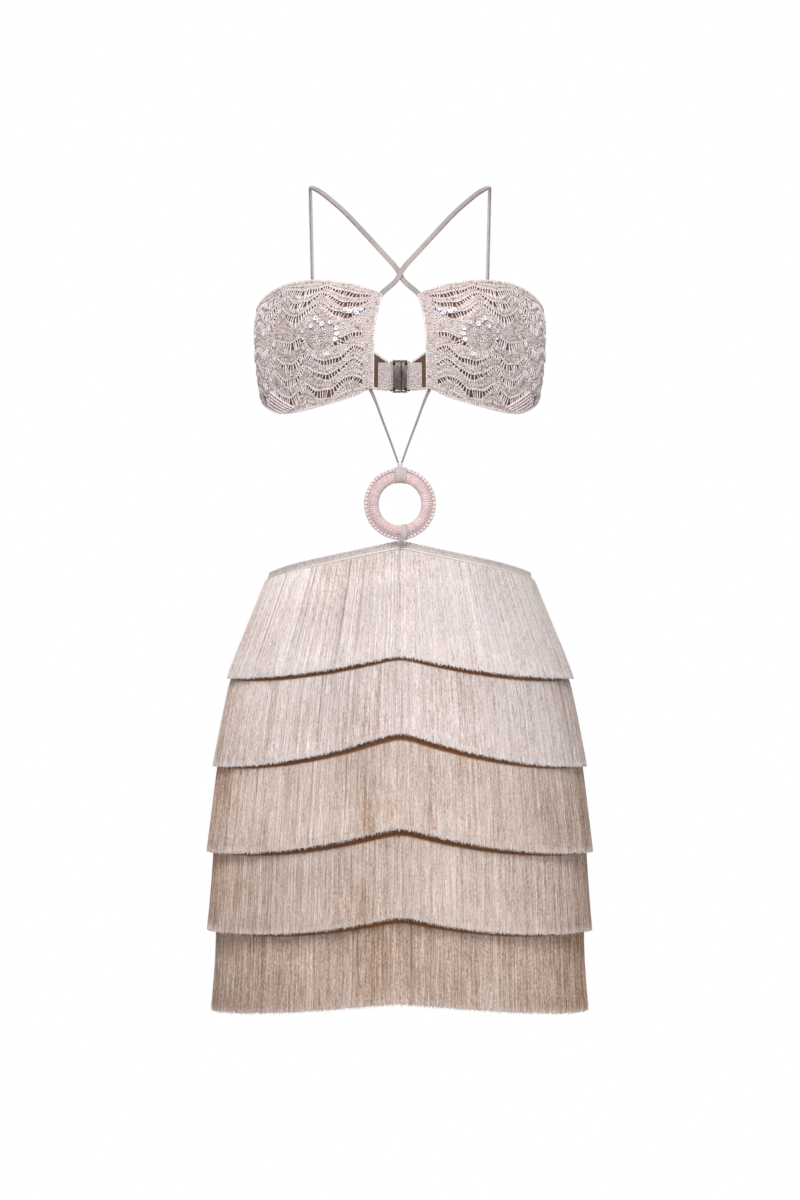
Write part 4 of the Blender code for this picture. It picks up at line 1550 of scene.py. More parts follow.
def add_tab(tag, side):
    place, width, height = tab_place(side)
    plan = Plan(seed=4, loose=1.8)
    plain_rows(plan, width, height, 0.0024, thick=0.0013, shade=0.95)
    guide = cloth_guide(raised(place, 0.0003), 60, 20, 0.0)
    meshes = plan.laid(guide, width, height, CROCHET)
    walls = (even(-TAB_HALF_WALL), even(TAB_HALF_WALL))
    core = wall_mesh("core", place, 48, 6, *walls, False, CROCHET)
    tab = join(f"back_tab_{tag}_crochet", [shaded(core, 0.9, 0.68), *meshes])
    return place_piece(tab, "crochet", f"back_tab_{tag}")


tabs = {tag: add_tab(tag, side) for tag, side in SIDES}

# %% [markdown]
# ## Linings
# The lining is one smooth shell behind each cup and wing.  It is cloth of a known cut, and its
# cut is printed; the lace and the edges are sewn to it.

# %% Linings
def add_lining(name, node, place, columns, rows):
    lining = link(name, wall_mesh(name, place, columns, rows, *map(even, LINING), False, SHADED_LINING_CLOTH))
    place_piece(lining, "lining", node)
    width, height = spans(place)
    print(f"{name}: cut {width:.3f} x {height:.3f} m")


for tag, side in SIDES:
    place = cup_place(side, LINING_INSET)
    add_lining(f"cup_lining_{tag}_cloth", f"cup_lining_{tag}", place, 60, 30)
    place = wing_place(side)
    add_lining(f"wing_lining_{tag}_cloth", f"wing_lining_{tag}", place, 60, 20)

# %% [markdown]
# ## Clasp
# The metal clasp is two slotted plates that hook together, one tongue behind the other plate.
# Small hard parts want true edges that catch the light, so each block gets rounded edges, and
# the plates get upright flutes on both faces.

# %% Blocks and gunmetal
ROUNDING, MOST_ROUNDING = 0.0003, 0.42  # in metres, and as a share of a block's least side
SHARP_BLOCK = math.radians(35)


def blocks_mesh(name, blocks, finish):
    """Blocks with rounded edges, each given by its low and high corners and its shade."""
    work = bmesh.new()
    shade_of = work.verts.layers.float.new("shade")
    for low, high, shade in blocks:
        before = len(work.verts)
        low, high = np.minimum(low, high), np.maximum(low, high)
        made = bmesh.ops.create_cube(work, size=1.0)["verts"]
        for corner in made:
            corner.co = [mix(low[k], high[k], corner.co[k] + 0.5) for k in range(3)]
        edges = {edge for corner in made for edge in corner.link_edges}
        width = min(ROUNDING, MOST_ROUNDING * float(np.min(high - low)))
        bmesh.ops.bevel(work, geom=list(edges), offset=width, segments=3, affect="EDGES", profile=0.5)
        work.verts.ensure_lookup_table()
        for corner in work.verts[before:]:
            corner[shade_of] = shade
    mesh = bpy.data.meshes.new(name)
    work.to_mesh(mesh)
    work.free()
    mesh.shade_smooth()
    mesh.set_sharp_from_angle(angle=SHARP_BLOCK)
    mesh.materials.append(finish)
    return mesh


def clasp_finish():
    """Gunmetal plating: brushed along its length and rubbed brighter in patches."""
    material, shader, net = finish("clasp_metal", 0.32, metallic=1.0)
    place = object_place(net)
    x, y, z = net.parts(place)
    brushed = net.noise(net.joined(x, y, z * 0.05), 2600.0, 2.0)
    rubbed = net.noise(place, 210.0, 3.0)
    share = net.clamped(rubbed * 0.9 + brushed * 0.35 - 0.2)
    colour = net.blend(share, tone(150, 136, 135), tone(222, 210, 210))
    # Blocks with a low shade turn to the dark tone; the tongue's darkness is painted shade in the gap
    # where the plates meet.
    plating_and_shade = net.clamped(attribute(net, "shade") * 0.9 + share * 0.2)
    net.feed(shader.inputs["Base Color"], net.blend(plating_and_shade, tone(34, 29, 29), colour))
    net.feed(shader.inputs["Roughness"], net.clamped(0.2 + brushed * 0.3))
    bump(net, shader, brushed, 0.15, 0.0001)
    return material


GUNMETAL = clasp_finish()
print("gunmetal ready")

# %% Clasp
CLASP_PLATE_X, CLASP_SLOT_X, CLASP_OUTER_X = 0.0074, 0.0090, 0.0105
CLASP_MEET, CLASP_MEET_HALF_GAP = 0.0013, 0.00025
CLASP_Y, CLASP_THICK = 0.0953, 0.0020
POST_HALF, POST_RISE = 0.0013, 0.0012
EAR = 0.0012  # how much of each end bar the ear leaves
FLUTE_PITCH, FLUTE_HALF, FLUTE_RISE, FLUTE_INSET = 0.00155, 0.00045, 0.0003, 0.0052
TONGUE_X, TONGUE_NEAR, TONGUE_FAR, TONGUE_INSET = 0.0046, 0.0004, 0.0014, 0.0010


def add_clasp(tag, side):
    near, far = CLASP_Y - CLASP_THICK / 2, CLASP_Y + CLASP_THICK / 2
    meet = CLASP_MEET + side * CLASP_MEET_HALF_GAP
    plate, slot, outer = side * CLASP_PLATE_X, side * CLASP_SLOT_X, side * CLASP_OUTER_X
    low, high = CLASP_BOTTOM, CLASP_TOP
    ear = CLASP_BAR - EAR
    blocks = [((meet, near, low + 0.0006), (plate, far, high - 0.0006), 0.8)]
    blocks.append(((slot, near + 0.0001, low + ear), (outer, far - 0.0001, high - ear), 0.3))
    ends = ((high - CLASP_BAR, high, high - ear), (low, low + CLASP_BAR, low + ear))
    for bar_low, bar_high, ear_z in ends:
        toward = math.copysign(1.0, (low + high) / 2 - ear_z)
        ear_end = (outer, far - 0.0003, ear_z + toward * 0.0011)
        blocks.append(((plate - side * 0.002, near + 0.0003, ear_z), ear_end, 0.3))
        blocks.append(((meet, near - 0.0004, bar_low + 0.0002), (plate, far, bar_high), 1.0))
        x, z = plate - side * POST_HALF, (bar_low + bar_high) / 2 + toward * 0.0026
        post_end = (x + POST_HALF, far - 0.0005, z + POST_HALF)
        blocks.append(((x - POST_HALF, near - POST_RISE, z - POST_HALF), post_end, 0.0))
    for x in np.arange(meet + side * 0.0012, plate - side * 0.0004, side * FLUTE_PITCH):
        for face in (near, far):
            flute = (x - FLUTE_HALF, face - FLUTE_RISE, low + FLUTE_INSET)
            flute_end = (x + FLUTE_HALF, face + FLUTE_RISE, high - FLUTE_INSET)
            blocks.append((flute, flute_end, 1.0))
    if side > 0:
        # The tongue is painted dark, as the shade in the gap between the plates.
        tongue = (-TONGUE_X, far + TONGUE_NEAR, low + TONGUE_INSET)
        blocks.append((tongue, (TONGUE_X, far + TONGUE_FAR, high - TONGUE_INSET), 0.0))
        blocks.append(((0.0024, far - 0.0007, low + 0.0084), (0.0048, far + 0.0011, high - 0.0084), 0.5))
    clasp = link(f"clasp_{tag}_metal", blocks_mesh(f"clasp_{tag}", blocks, GUNMETAL))
    place_piece(clasp, "clasp_metal", f"clasp_{tag}")


for tag, side in SIDES:
    add_clasp(tag, side)

# %% [markdown]
# ## Covered ring
# The ring is wound crosswise with yarn, edged with a crocheted chain, and bound twice with cord.
# A winding follows a rule, so Geometry Nodes bends one straight line into a coil round the
# ring: the place along the line gives both the turn round the ring and the turn of the coil.
# The loop that gathers the cords is a bent oval of their own yarn.

# %% The winding's tree
RING_Y, RING_Z = -0.0970, -0.3193
RING_MIDDLE, RING_HALF_WIDTH, RING_HALF_DEPTH = 0.0260, 0.0054, 0.0045
EDGING_INNER, EDGING_MIDDLE, EDGING_OUTER = 0.0318, 0.0331, 0.0351
WRAP_MIDDLE, WRAP_HALF_WIDTH, WRAP_HALF_DEPTH = 0.0281, 0.0072, 0.0052
# node, middle_degrees, half_degrees, turns, measured from the ring's top towards +X
WRAPS = (("ring_wrap_top", 1.0, 12.4, 8), ("ring_wrap_bottom", 171.7, 6.5, 4))
WINDING_TURNS, WINDING_RADIUS = 98, 0.00082
CHAIN_LOOPS = 55


def winding_pattern():
    net = Pattern(
        "winding", Points=100, Turns=10.0, Start=0.0, Sweep=math.tau, Middle=0.026, Wide=0.005,
        Deep=0.004, Yarn=0.0008, Parallel=0.0, Palest=0.95, Finish="NodeSocketMaterial",
    )
    line = net.line((1, 0, 0), net.given("Points"))
    share = net.make("GeometryNodeSplineParameter")
    coil = share * net.given("Turns") * math.tau
    turn = net.given("Start") + share * net.given("Sweep")
    distance = net.given("Middle") + net.given("Wide") * net.math("COSINE", coil)
    aside = distance + (net.given("Middle") - distance) * net.given("Parallel")
    x = aside * net.math("SINE", turn)
    rise = net.math("SQRT", distance * distance - x * x)
    z = rise * net.math("SIGN", net.math("COSINE", turn)) + RING_Z
    y = net.given("Deep") * net.math("SINE", coil) + RING_Y
    bent = net.moved(line, net.joined(x, y, z))
    turned = net.math("FLOOR", share * net.given("Turns"))
    waver = net.random(0.0, net.given("Palest"), 3, turned)
    bent = net.stored(net.stored(bent, "shade", waver), "lift", 0.8)
    net.finished(net.tube(bent, 5, net.given("Yarn")), net.given("Finish"))
    return net


WINDING = winding_pattern()
print("nodes that wind the ring:", len(WINDING.tree.nodes))

# %% Ring
CORE_SECTION, CORE_TURNS, WRAP_CORE_TURNS = 12, 96, 17
UNDER_WINDING = 0.0001  # how far a core lies inside its winding


def empty_base(name):
    return link(name, bpy.data.meshes.new(name))


def ring_core(middle, wide, deep, start, sweep, finish, shade, lift, parallel=0.0):
    """A plain solid under a winding, so that no gap shows through."""
    around = sweep >= math.tau
    count = CORE_TURNS if around else WRAP_CORE_TURNS
    turns = np.linspace(start, start + sweep, count, endpoint=not around)
    section = np.linspace(0.0, math.tau, CORE_SECTION, endpoint=False)
    distance = middle + wide * np.cos(section)
    x = np.sin(turns)[:, None] * mix(distance, middle, parallel)
    rise = np.sqrt(distance**2 - x**2) * np.sign(np.cos(turns))[:, None]
    depth = np.broadcast_to(RING_Y + deep * np.sin(section), x.shape)
    points = np.stack([x, depth, rise + RING_Z], axis=-1)
    faces = tube_faces(count, CORE_SECTION, around)
    return shaded(make_mesh("core", points.reshape(-1, 3), faces, finish), shade, lift)


def add_ring():
    wide, deep = RING_HALF_WIDTH - WINDING_RADIUS, RING_HALF_DEPTH - WINDING_RADIUS
    coil = grow(
        empty_base("winding"), WINDING, Points=WINDING_TURNS * 12, Turns=float(WINDING_TURNS),
        Middle=RING_MIDDLE, Wide=wide, Deep=deep, Yarn=WINDING_RADIUS, Palest=0.6, Finish=RING_YARN,
    )
    section = (RING_MIDDLE, wide - UNDER_WINDING, deep - UNDER_WINDING, 0.0, math.tau)
    core = ring_core(*section, RING_YARN, 0.35, 0.45)
    place_piece(join("ring_winding", [coil, core]), "ring_yarn", "ring")


add_ring()

# %% Edging
LOOP_TALL, LOOP_FOOT = 0.0034, 0.0015


def ring_flat(u, v, offset):
    """u goes round the ring and v from the winding's edge outwards."""
    turn = math.tau * u
    distance = mix(EDGING_INNER, EDGING_OUTER, v)
    out = np.broadcast_to(RING_Y - offset, turn.shape)
    return np.stack([distance * np.sin(turn), out, distance * np.cos(turn) + RING_Z], axis=-1)


LOOP_STITCH = spindles("loop_stitch", [
    ((-0.12, -0.62, 0.0), (0.12, 0.60, 0.0), 0.86),
    ((-0.60, 0.34, 0.0), (0.60, 0.38, 0.0), 0.40),
], sides=6)


def add_edging():
    width, height = math.tau * (EDGING_INNER + EDGING_OUTER) / 2, EDGING_OUTER - EDGING_INNER
    plan = Plan(seed=2)
    x = (np.arange(CHAIN_LOOPS) + 0.5) * width / CHAIN_LOOPS
    size = (width / CHAIN_LOOPS, LOOP_TALL, LOOP_TALL)
    plan.add(LOOP_STITCH, np.column_stack([x, np.full(CHAIN_LOOPS, LOOP_FOOT)]), 0.0, size, 0.6)
    guide = cloth_guide(ring_flat, 240, 6, 0.02, 0.6)
    meshes = plan.laid(guide, width, height, RING_YARN)
    section = (EDGING_MIDDLE - 0.0004, 0.0015, 0.0009, 0.0, math.tau)
    core = ring_core(*section, RING_YARN, 0.2, 0.35)
    place_piece(join("ring_chain_edging", [*meshes, core]), "ring_yarn", "ring_edging")


add_edging()

# %% Wrappings and the cords' loop
LOOP_HALF_WIDTH, LOOP_HALF_HEIGHT, LOOP_RADIUS, LOOP_POINTS = 0.0019, 0.0014, 0.0007, 28
LOOP_Z = RING_Z + EDGING_OUTER + 0.0004 + LOOP_HALF_HEIGHT + LOOP_RADIUS
WRAP_SWELL = 1.12  # the cord is pressed wider than its share of the turns


def add_wraps():
    for node, middle, half, turns in WRAPS:
        start, sweep = math.radians(middle - half), math.radians(2 * half)
        cord = WRAP_MIDDLE * sweep / turns / 2 * WRAP_SWELL
        coil = grow(
            empty_base("wrap"), WINDING, Points=turns * 22, Turns=float(turns),
            Start=start + sweep / turns / 2, Sweep=sweep * (1 - 1 / turns), Middle=WRAP_MIDDLE,
            Wide=WRAP_HALF_WIDTH, Deep=WRAP_HALF_DEPTH, Yarn=cord, Parallel=1.0, Palest=0.2,
            Finish=WRAP_CORD,
        )
        wide, deep = WRAP_HALF_WIDTH - UNDER_WINDING, WRAP_HALF_DEPTH - UNDER_WINDING
        section = (WRAP_MIDDLE, wide, deep, start, sweep)
        core = ring_core(*section, WRAP_CORD, 0.3, 0.4, 1.0)
        place_piece(join(f"{node}_cord", [coil, core]), "ring_yarn", node)


def add_loop():
    angle = np.linspace(0.0, math.tau, LOOP_POINTS, endpoint=False)
    x, z = LOOP_HALF_WIDTH * np.cos(angle), LOOP_Z + LOOP_HALF_HEIGHT * np.sin(angle)
    path = np.column_stack([x, np.full(LOOP_POINTS, RING_Y), z])
    swell = LOOP_RADIUS * (1.0 + 0.15 * np.sin(7 * angle))
    tube = tube_mesh("loop", path, swell, 8, CORD_YARN, closed=True)
    loop = link("cord_loop_bent", shaded(tube, 0.45, 0.7))
    place_piece(loop, "knit_strap", "cord_loop")


add_wraps()
add_loop()

# %% [markdown]
# ## The skirt's lines
# The waist and every hem rise to a point at the centre front, where the ring pulls them up, and
# run level behind.  Each line is a height for every turn round the figure.

# %% Waist and hems
BAND_APEX, BAND_SLOPE_DROP, BAND_CORNER_DROP = -0.3556, 0.0265, 0.0050
BAND_DEPTH, BAND, BACK_DIP = 0.0083, (0.0, 0.0026), 0.0040
BAND_ROUNDING, APEX_ROUNDING = 0.03, 0.06
# hem_at_centre, drop_to_side, bend, reach_at_hem
TIERS = (
    (-0.4687, 0.0227, 1.8, 0.0088),
    (-0.5426, 0.0350, 1.9, 0.0084),
    (-0.6344, 0.0275, 2.0, 0.0109),
    (-0.7195, 0.0200, 2.5, 0.0124),
    (-0.8039, 0.0165, 1.2, 0.0102),
)
TIER_COVER = 0.0140
TIER_TOP_OUTER, TIER_HEM_WALL = 0.0037, 0.0030
TIER_ROUNDNESS = 1.6


def around(u):
    """The turn round the figure, from centre back to centre back."""
    return 360.0 * u - 180.0


def band_top(turn):
    share = np.abs(np.sin(np.radians(turn)))
    side = BAND_APEX - BAND_SLOPE_DROP - BAND_CORNER_DROP
    slope = np.hypot(share, BAND_ROUNDING) - BAND_ROUNDING
    front = BAND_APEX - BAND_SLOPE_DROP * slope - BAND_CORNER_DROP * share**8
    return np.where(np.cos(np.radians(turn)) > 0, front, side - BACK_DIP * (1.0 - share))


def hem(tier, turn):
    centre, drop, bend, _ = TIERS[tier]
    share = np.hypot(np.abs(np.sin(np.radians(turn))), APEX_ROUNDING) - APEX_ROUNDING
    front = centre - drop * (1.0 - np.maximum(1.0 - share, 0.0) ** bend)
    return np.where(np.cos(np.radians(turn)) > 0, front, centre - drop)


def tier_top(tier, turn):
    if tier == 0:
        return band_top(turn) - BAND_DEPTH - SEAM_GAP
    return hem(tier - 1, turn) + TIER_COVER


def skirt_place(upper, lower):
    """Places all round the skirt: v goes from the lower edge up to the upper one."""

    def place(u, v, offset):
        turn = around(u)
        return lifted(hips, turn, mix(lower(turn), upper(turn), v), offset)

    return place


def ring_path(place, v, lift, count):
    u = np.linspace(0.0, 1.0, count, endpoint=False)
    return place(u, np.full(count, v), np.full(count, lift))


def closed_length(path):
    return float(np.linalg.norm(path - np.roll(path, 1, axis=0), axis=1).sum())


print("hems at the front:", [round(float(hem(tier, 0.0)), 4) for tier in range(len(TIERS))])

# %% [markdown]
# ## Waistband and knot
# The waist is a narrow crocheted band.  Short slanted stitches cross it under a chained edge,
# and a smooth pale cord closes it below.  The band runs all round, so its plan wraps at the
# centre back.  The knot ties the ring down to the band's point.

# %% Waistband
SLANT_STITCH = spindles("slant_stitch", [
    ((-0.30, -0.55, 0.15), (0.16, 0.55, 0.45), 0.36),
    ((0.10, -0.55, 0.15), (0.56, 0.55, 0.45), 0.30),
])
BAND_PITCH = 0.0034
BAND_ROWS = ((0.0029, 0.0019, 0.80), (0.0045, 0.0019, 0.70), (0.0061, 0.0019, 0.60))
BAND_CHAIN = 0.0075  # its height, as the rows' first numbers are
BAND_GROUND = 0.0014
BAND_CORD_SHARE, BAND_CORD_LIFT, BAND_CORD_RADIUS = 0.13, 0.0018, 0.00105


def add_waistband():
    place = skirt_place(band_top, lambda turn: band_top(turn) - BAND_DEPTH)
    girth = closed_length(ring_path(place, 0.5, BAND[0], 400))
    plan = Plan(seed=3)
    count = round(girth / BAND_PITCH)
    x = (np.arange(count) + 0.5) * girth / count
    for y, tall, shade in BAND_ROWS:
        size = (1.05 * BAND_PITCH, tall, 0.0016)
        plan.add(SLANT_STITCH, np.column_stack([x, np.full(count, y)]), 0.0, size, shade)
    size = (1.15 * BAND_PITCH, 0.0017, 0.0018)
    plan.add(CHAIN_STITCH, np.column_stack([x, np.full(count, BAND_CHAIN)]), 0.0, size, 0.6)
    guide = cloth_guide(raised(place, BAND_GROUND), 400, 6, 0.02, 0.4)
    meshes = plan.laid(guide, girth, BAND_DEPTH, WAIST_YARN)
    ground = wall_mesh("ground", place, 240, 4, even(0.0), even(BAND_GROUND), True, WAIST_YARN)
    path = ring_path(place, BAND_CORD_SHARE, BAND_CORD_LIFT, 400)
    cord = tube_mesh("cord", path, BAND_CORD_RADIUS, 8, WAIST_YARN, closed=True)
    band = join("waistband_crochet", [*meshes, shaded(ground, 0.5, 0.75), shaded(cord, 0.85, 0.8)])
    return place_piece(band, "waistband", "waistband_front", "waistband_back")


waistband = add_waistband()

# %% Knot
KNOT_Y, KNOT_Z = -0.1000, (RING_Z - EDGING_OUTER + BAND_APEX) / 2 + 0.0008
KNOT_RADIUS, KNOT_TALLER = 0.00062, 0.0009


def add_knot():
    """A small knot of three lobes."""
    angle = np.linspace(0.0, math.tau, 90, endpoint=False)
    low, high = (np.array(corner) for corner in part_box("apex_knot"))
    half = (high - low) / 2 - KNOT_RADIUS + np.array([0.0, 0.0, KNOT_TALLER])
    lobes = np.column_stack([
        (np.sin(angle) + 1.6 * np.sin(2 * angle)) / 2.5,
        -np.sin(3 * angle),
        (np.cos(angle) - 1.6 * np.cos(2 * angle)) / 2.3,
    ])
    path = np.array([0.0, KNOT_Y, KNOT_Z]) + lobes * half
    tube = tube_mesh("knot", path, KNOT_RADIUS, 7, CORD_YARN, closed=True)
    knot = link("apex_knot_tied", shaded(tube, 0.3, 0.6))
    place_piece(knot, "knit_strap", "apex_knot")


add_knot()

# %% [markdown]
# ## Skirt cloth
# The tiers are sewn to a plain skirt that shows only from inside.  It is a straight tube of
# cloth, cut to the hips and stretched by the wearer, and it ends above the lowest tips.

# %% Skirt cloth
SKIRT_WALL = (0.0, 0.0012)
SKIRT_HEM_RISE = 0.009


def skirt_cloth_place():
    return skirt_place(lambda turn: tier_top(0, turn), lambda turn: hem(-1, turn) + SKIRT_HEM_RISE)


skirt = link("skirt_tube", wall_mesh(
    "skirt", skirt_cloth_place(), 120, 24, *map(even, SKIRT_WALL), True, SKIRT_CLOTH,
))
place_piece(skirt, "skirt_cloth", "skirt_front", "skirt_back")

# %% [markdown]
# ## Fringe
# A fringe is thousands of silky threads hanging from a tape.  Each tier is grown by one tree:
# straight lines stand at random places round the tier, noise that grows towards the tips
# gathers them into soft locks, and the result is carried onto the tier's own surface.  A painted
# shade of a fold runs down either side of the centre front, plainest on the third tier.  The
# noise is read round a circle, so the tier has no seam.

# %% Fringe threads
# where the painted shade of the two folds beside the centre front runs, and how wide it is
FOLD_SHADE_X, FOLD_SHADE_WIDE = 0.027, 0.010
THREAD_POINTS = 5
SPLAY, LOCK_DEPTH = 0.0020, 0.0022  # how far tips spread round, and locks stand out or in


def fringe_pattern():
    net = Pattern(
        "fringe", Cloth="NodeSocketObject", Threads=1000, Girth=1.0, Length=0.1, Yarn=0.0003,
        Margin=0.04, Rise=0.04, Head=0.0, Tint=0.0, Aside=0.0, Crease=0.0,
        Top=0.003, Reach=0.009, Depth=0.002, Locks=0.004, Sway=0.003, Uneven=0.002, Seed=1,
        Finish="NodeSocketMaterial",
    )
    seed = net.given("Seed")
    stations = net.make("GeometryNodePoints", None, {"Count": net.given("Threads")})
    index = net.make("GeometryNodeInputIndex")
    start = (index + net.random(-0.4, 0.4, seed)) / net.given("Threads")
    stations = net.moved(stations, net.joined(start, 0.0, 0.0))
    stations = net.stored(stations, "shade", net.random(0.0, 1.0, seed + 1))
    stations = net.stored(stations, "length", net.random(-1.0, 1.0, seed + 2))
    stations = net.stored(stations, "layer", net.random(0.0, 1.0, seed + 3))
    sockets = {"Points": stations, "Instance": net.line((0, 1, 0), THREAD_POINTS)}
    threads = net.make("GeometryNodeInstanceOnPoints", None, sockets)
    threads = net.make("GeometryNodeRealizeInstances", None, {"Geometry": threads})
    whole = net.merged(net.stored(threads, "deep", 0.0), net.given())
    # The attributes are stored before the move, while the position still is (u, down, lift).
    u, down, lift = net.parts(net.make("GeometryNodeInputPosition"))
    circle = net.joined(net.math("COSINE", u * math.tau), net.math("SINE", u * math.tau), down * 0.05)
    radius = net.given("Girth") / math.tau
    wide = net.noise(circle, radius / (net.given("Locks") * 6.0)) - 0.5
    lock = net.noise(circle, radius / net.given("Locks")) - 0.5
    lean = (lock * 0.5 + wide * 1.6) * net.given("Sway") * down**1.5
    splay = (net.named("layer") - 0.5) * SPLAY * down**8
    flat_u = u + (lean + splay) / net.given("Girth")
    longer = net.named("length") * net.given("Uneven") / net.given("Length")
    flat_v = 1.0 - down * (1.01 + longer)
    profile = net.given("Top") + (net.given("Reach") - net.given("Top")) * down**TIER_ROUNDNESS
    hollow = (lock * 0.9 + wide * 1.3) * LOCK_DEPTH * (down * 0.8 + 0.2)
    height = profile + hollow + lift - net.named("layer") * net.given("Depth") * (down * 0.6 + 0.4)
    front = net.math("ABSOLUTE", net.math("COSINE", u * math.tau))
    # The painted hem shadow reaches further down at the front.
    head = net.given("Head") * (1.0 + front * 0.30)
    # Painted shade darkens a tier towards its sides, which turn from the light, and down two folds
    # beside the centre front.
    tint = net.given("Tint") + net.given("Aside") * (1.0 - front) ** 1.2
    aside = net.math("ABSOLUTE", net.math("ABSOLUTE", u - 0.5) * net.given("Girth") - FOLD_SHADE_X)
    tint = tint + net.math("MAXIMUM", 1.0 - aside / FOLD_SHADE_WIDE, 0.0) * net.given("Crease") * down
    marks = {"along": down, "head": head, "lock": lock + wide * 0.5, "tint": tint}
    for label, value in marks.items():
        whole = net.stored(whole, label, value)
    wrapped = net.math("FRACT", flat_u + 1.0)
    placed = net.moved(whole, on_cloth(net, net.joined(wrapped, flat_v, 0.0), height))
    return net, placed


def fringe_tree():
    """Threads become thin tapered tubes, and the shell passes through."""
    net, placed = fringe_pattern()
    taper = net.given("Yarn") * (1.0 - net.named("along") ** 6 * 0.25)
    tubes = net.tube(placed, 3, taper)
    shell = net.make("GeometryNodeSeparateComponents", None, {0: placed})
    net.finished(net.merged(tubes, shell), net.given("Finish"))
    return net


FRINGE = fringe_tree()
print("nodes that grow a fringe:", len(FRINGE.tree.nodes))

# %% [markdown]
# ## The shell behind the threads
# A ribbed shell hangs behind the threads and closes the gaps between them, as the threads
# behind do.  It goes through the same tree, so it takes the same locks.

# %% Ribbed shell
RIB_PITCH, RIB_HEIGHT, RIB_BACK = 0.00100, 0.00034, 0.0009
SHELL_ROWS, SHELL_SHARE = (0.0, 0.35, 0.7, 0.9), 0.995
SHELL_INNER, SHELL_TAPER = -0.0022, 0.0006


def ribbed_shell(name, girth, seed):
    """A flat closed sleeve, ribbed outside: x is the share round, y the share down, z the lift."""
    columns = 2 * round(girth / RIB_PITCH)
    chance = np.random.default_rng(seed)
    ridge = np.where(np.arange(columns) % 2 == 0, RIB_HEIGHT, -RIB_HEIGHT)
    ridge = ridge * chance.uniform(0.5, 1.2, columns) - RIB_BACK
    loops = [(down, ridge) for down in (*SHELL_ROWS, SHELL_SHARE)]
    inner = np.full(columns, SHELL_INNER)
    loops += [(SHELL_SHARE, inner), (0.0, inner + SHELL_TAPER)]
    u = (np.arange(columns) + chance.uniform(-0.25, 0.25, columns)) / columns
    uneven = chance.uniform(-0.012, 0.006, columns)
    points = []
    for down, lift in loops:
        lower = down + uneven * (down >= SHELL_SHARE)
        points.append(np.column_stack([u, np.broadcast_to(lower, columns), lift]))
    points = np.stack(points, axis=1).reshape(-1, 3)
    rows = len(loops)
    faces = [face[::-1] for face in grid_faces(columns, rows, True)]
    for i in range(columns):
        ahead = (i + 1) % columns
        faces.append((i * rows + rows - 1, ahead * rows + rows - 1, ahead * rows, i * rows)[::-1])
    mesh = bpy.data.meshes.new(name)
    mesh.from_pydata(points.tolist(), [], faces)
    mesh.shade_smooth()
    shades = np.repeat(chance.uniform(0.1, 0.8, columns), rows)
    attribute_of(mesh, "shade", shades)
    for label, value in (("length", 0.0), ("layer", 0.0), ("deep", 1.0)):
        attribute_of(mesh, label, np.full(len(shades), value))
    return link(name, mesh)


print("shell ready")

# %% [markdown]
# ## Fringe finishes
# Silk is painted paler where a lock stands out and tan between locks: painted light and shade.
# The upper tiers are paler.  Each tier is painted darker towards its sides and down two folds
# beside the centre front, and just under each hem a painted shadow turns the threads' heads brown.
# The tips are painted paler against the shade among the threads, and the shell is painted a little
# darker, as the shade behind them.

# %% Fringe finishes
# the painted shadow that each hem casts on the threads' heads below it
HEM_SHADOW_TONE = tone(136, 86, 48)
UPPER_TONES = tone(172, 142, 122), tone(211, 193, 185), tone(243, 235, 235)
LOWER_TONES = tone(148, 110, 84), tone(190, 163, 145), tone(235, 222, 216)


def fringe_finish(name, dark, plain, light):
    material, shader, net = finish(name, 0.42, sheen=0.15, specular=0.35)
    x, y, z = net.parts(object_place(net))
    streak = net.noise(net.joined(x, y, z * 0.06), 560.0, 2.0) - 0.5
    glint = net.noise(net.joined(x, y, z * 0.3), 1150.0, 1.0) - 0.5
    patch = net.noise(net.joined(x, y, z * 0.7), 15.0, 2.0) - 0.5
    along, deep = attribute(net, "along"), attribute(net, "deep")
    # A lock is painted paler where it stands out and tan between locks: painted light and shade.
    share = attribute(net, "lock") * 0.5 + attribute(net, "shade") * 0.6 + streak * 1.3
    # The shell behind the threads is painted a little darker, as shade.
    share = share + glint * 2.0 + patch * 0.8 + along * 0.15 + 0.25 - deep * 0.15
    # The tint turns a tier tan, with painted shade towards its sides and down its folds, and the tips
    # are painted paler against the shade among the threads.
    share = share - attribute(net, "tint") + net.clamped(along * 14.0 - 13.0) * 0.5
    colour = net.blend(net.clamped(share), plain, light)
    shadow = net.clamped((0.25 - share) * 1.3)
    colour = net.blend(shadow, colour, dark)
    # Just under the hem above, the heads are painted with its shadow.
    hem_shadow = net.clamped((attribute(net, "head") - along) * 55.0 + 0.5)
    net.feed(shader.inputs["Base Color"], net.blend(hem_shadow, colour, HEM_SHADOW_TONE))
    net.feed(shader.inputs["Roughness"], net.clamped(0.44 + streak * 0.2))
    bump(net, shader, streak + glint, 0.3, 0.0003)
    return material


UPPER_FRINGE = fringe_finish("fringe_upper", *UPPER_TONES)
LOWER_FRINGE = fringe_finish("fringe_lower", *LOWER_TONES)
print("fringe finishes ready")

# %% [markdown]
# ## Tiers
# Five tiers are grown, each from under the hem above it.  Then the skirt cloth's cut is printed;
# the tiers and the waistband are sewn to it.

# %% Tiers
THREAD_PITCH, THREAD_RADIUS = 0.00038, 0.00029
LOCK_WIDTH, SWAY, UNEVEN = 0.0055, 0.0022, 0.0016
HEM_SHADOW_SIDES = 0.0010  # how far past the hem above the shade runs at the sides
# how far each tier turns to tan at the front, and the painted shade that darkens it further towards its
# sides, which turn from the light
TIER_TINTS_AND_SIDE_SHADES = ((0.08, 0.05), (0.19, 0.30), (0.0, 0.65), (0.06, 0.65), (0.38, 0.32))
# how strong the painted fold shade is on each tier
TIER_FOLD_SHADES = (0.0, 0.12, 0.40, 0.12, 0.0)
UPPER_TIERS = 2


def tier_length(tier):
    turns = around(np.linspace(0.0, 1.0, 60))
    return float(np.mean(tier_top(tier, turns) - hem(tier, turns)))


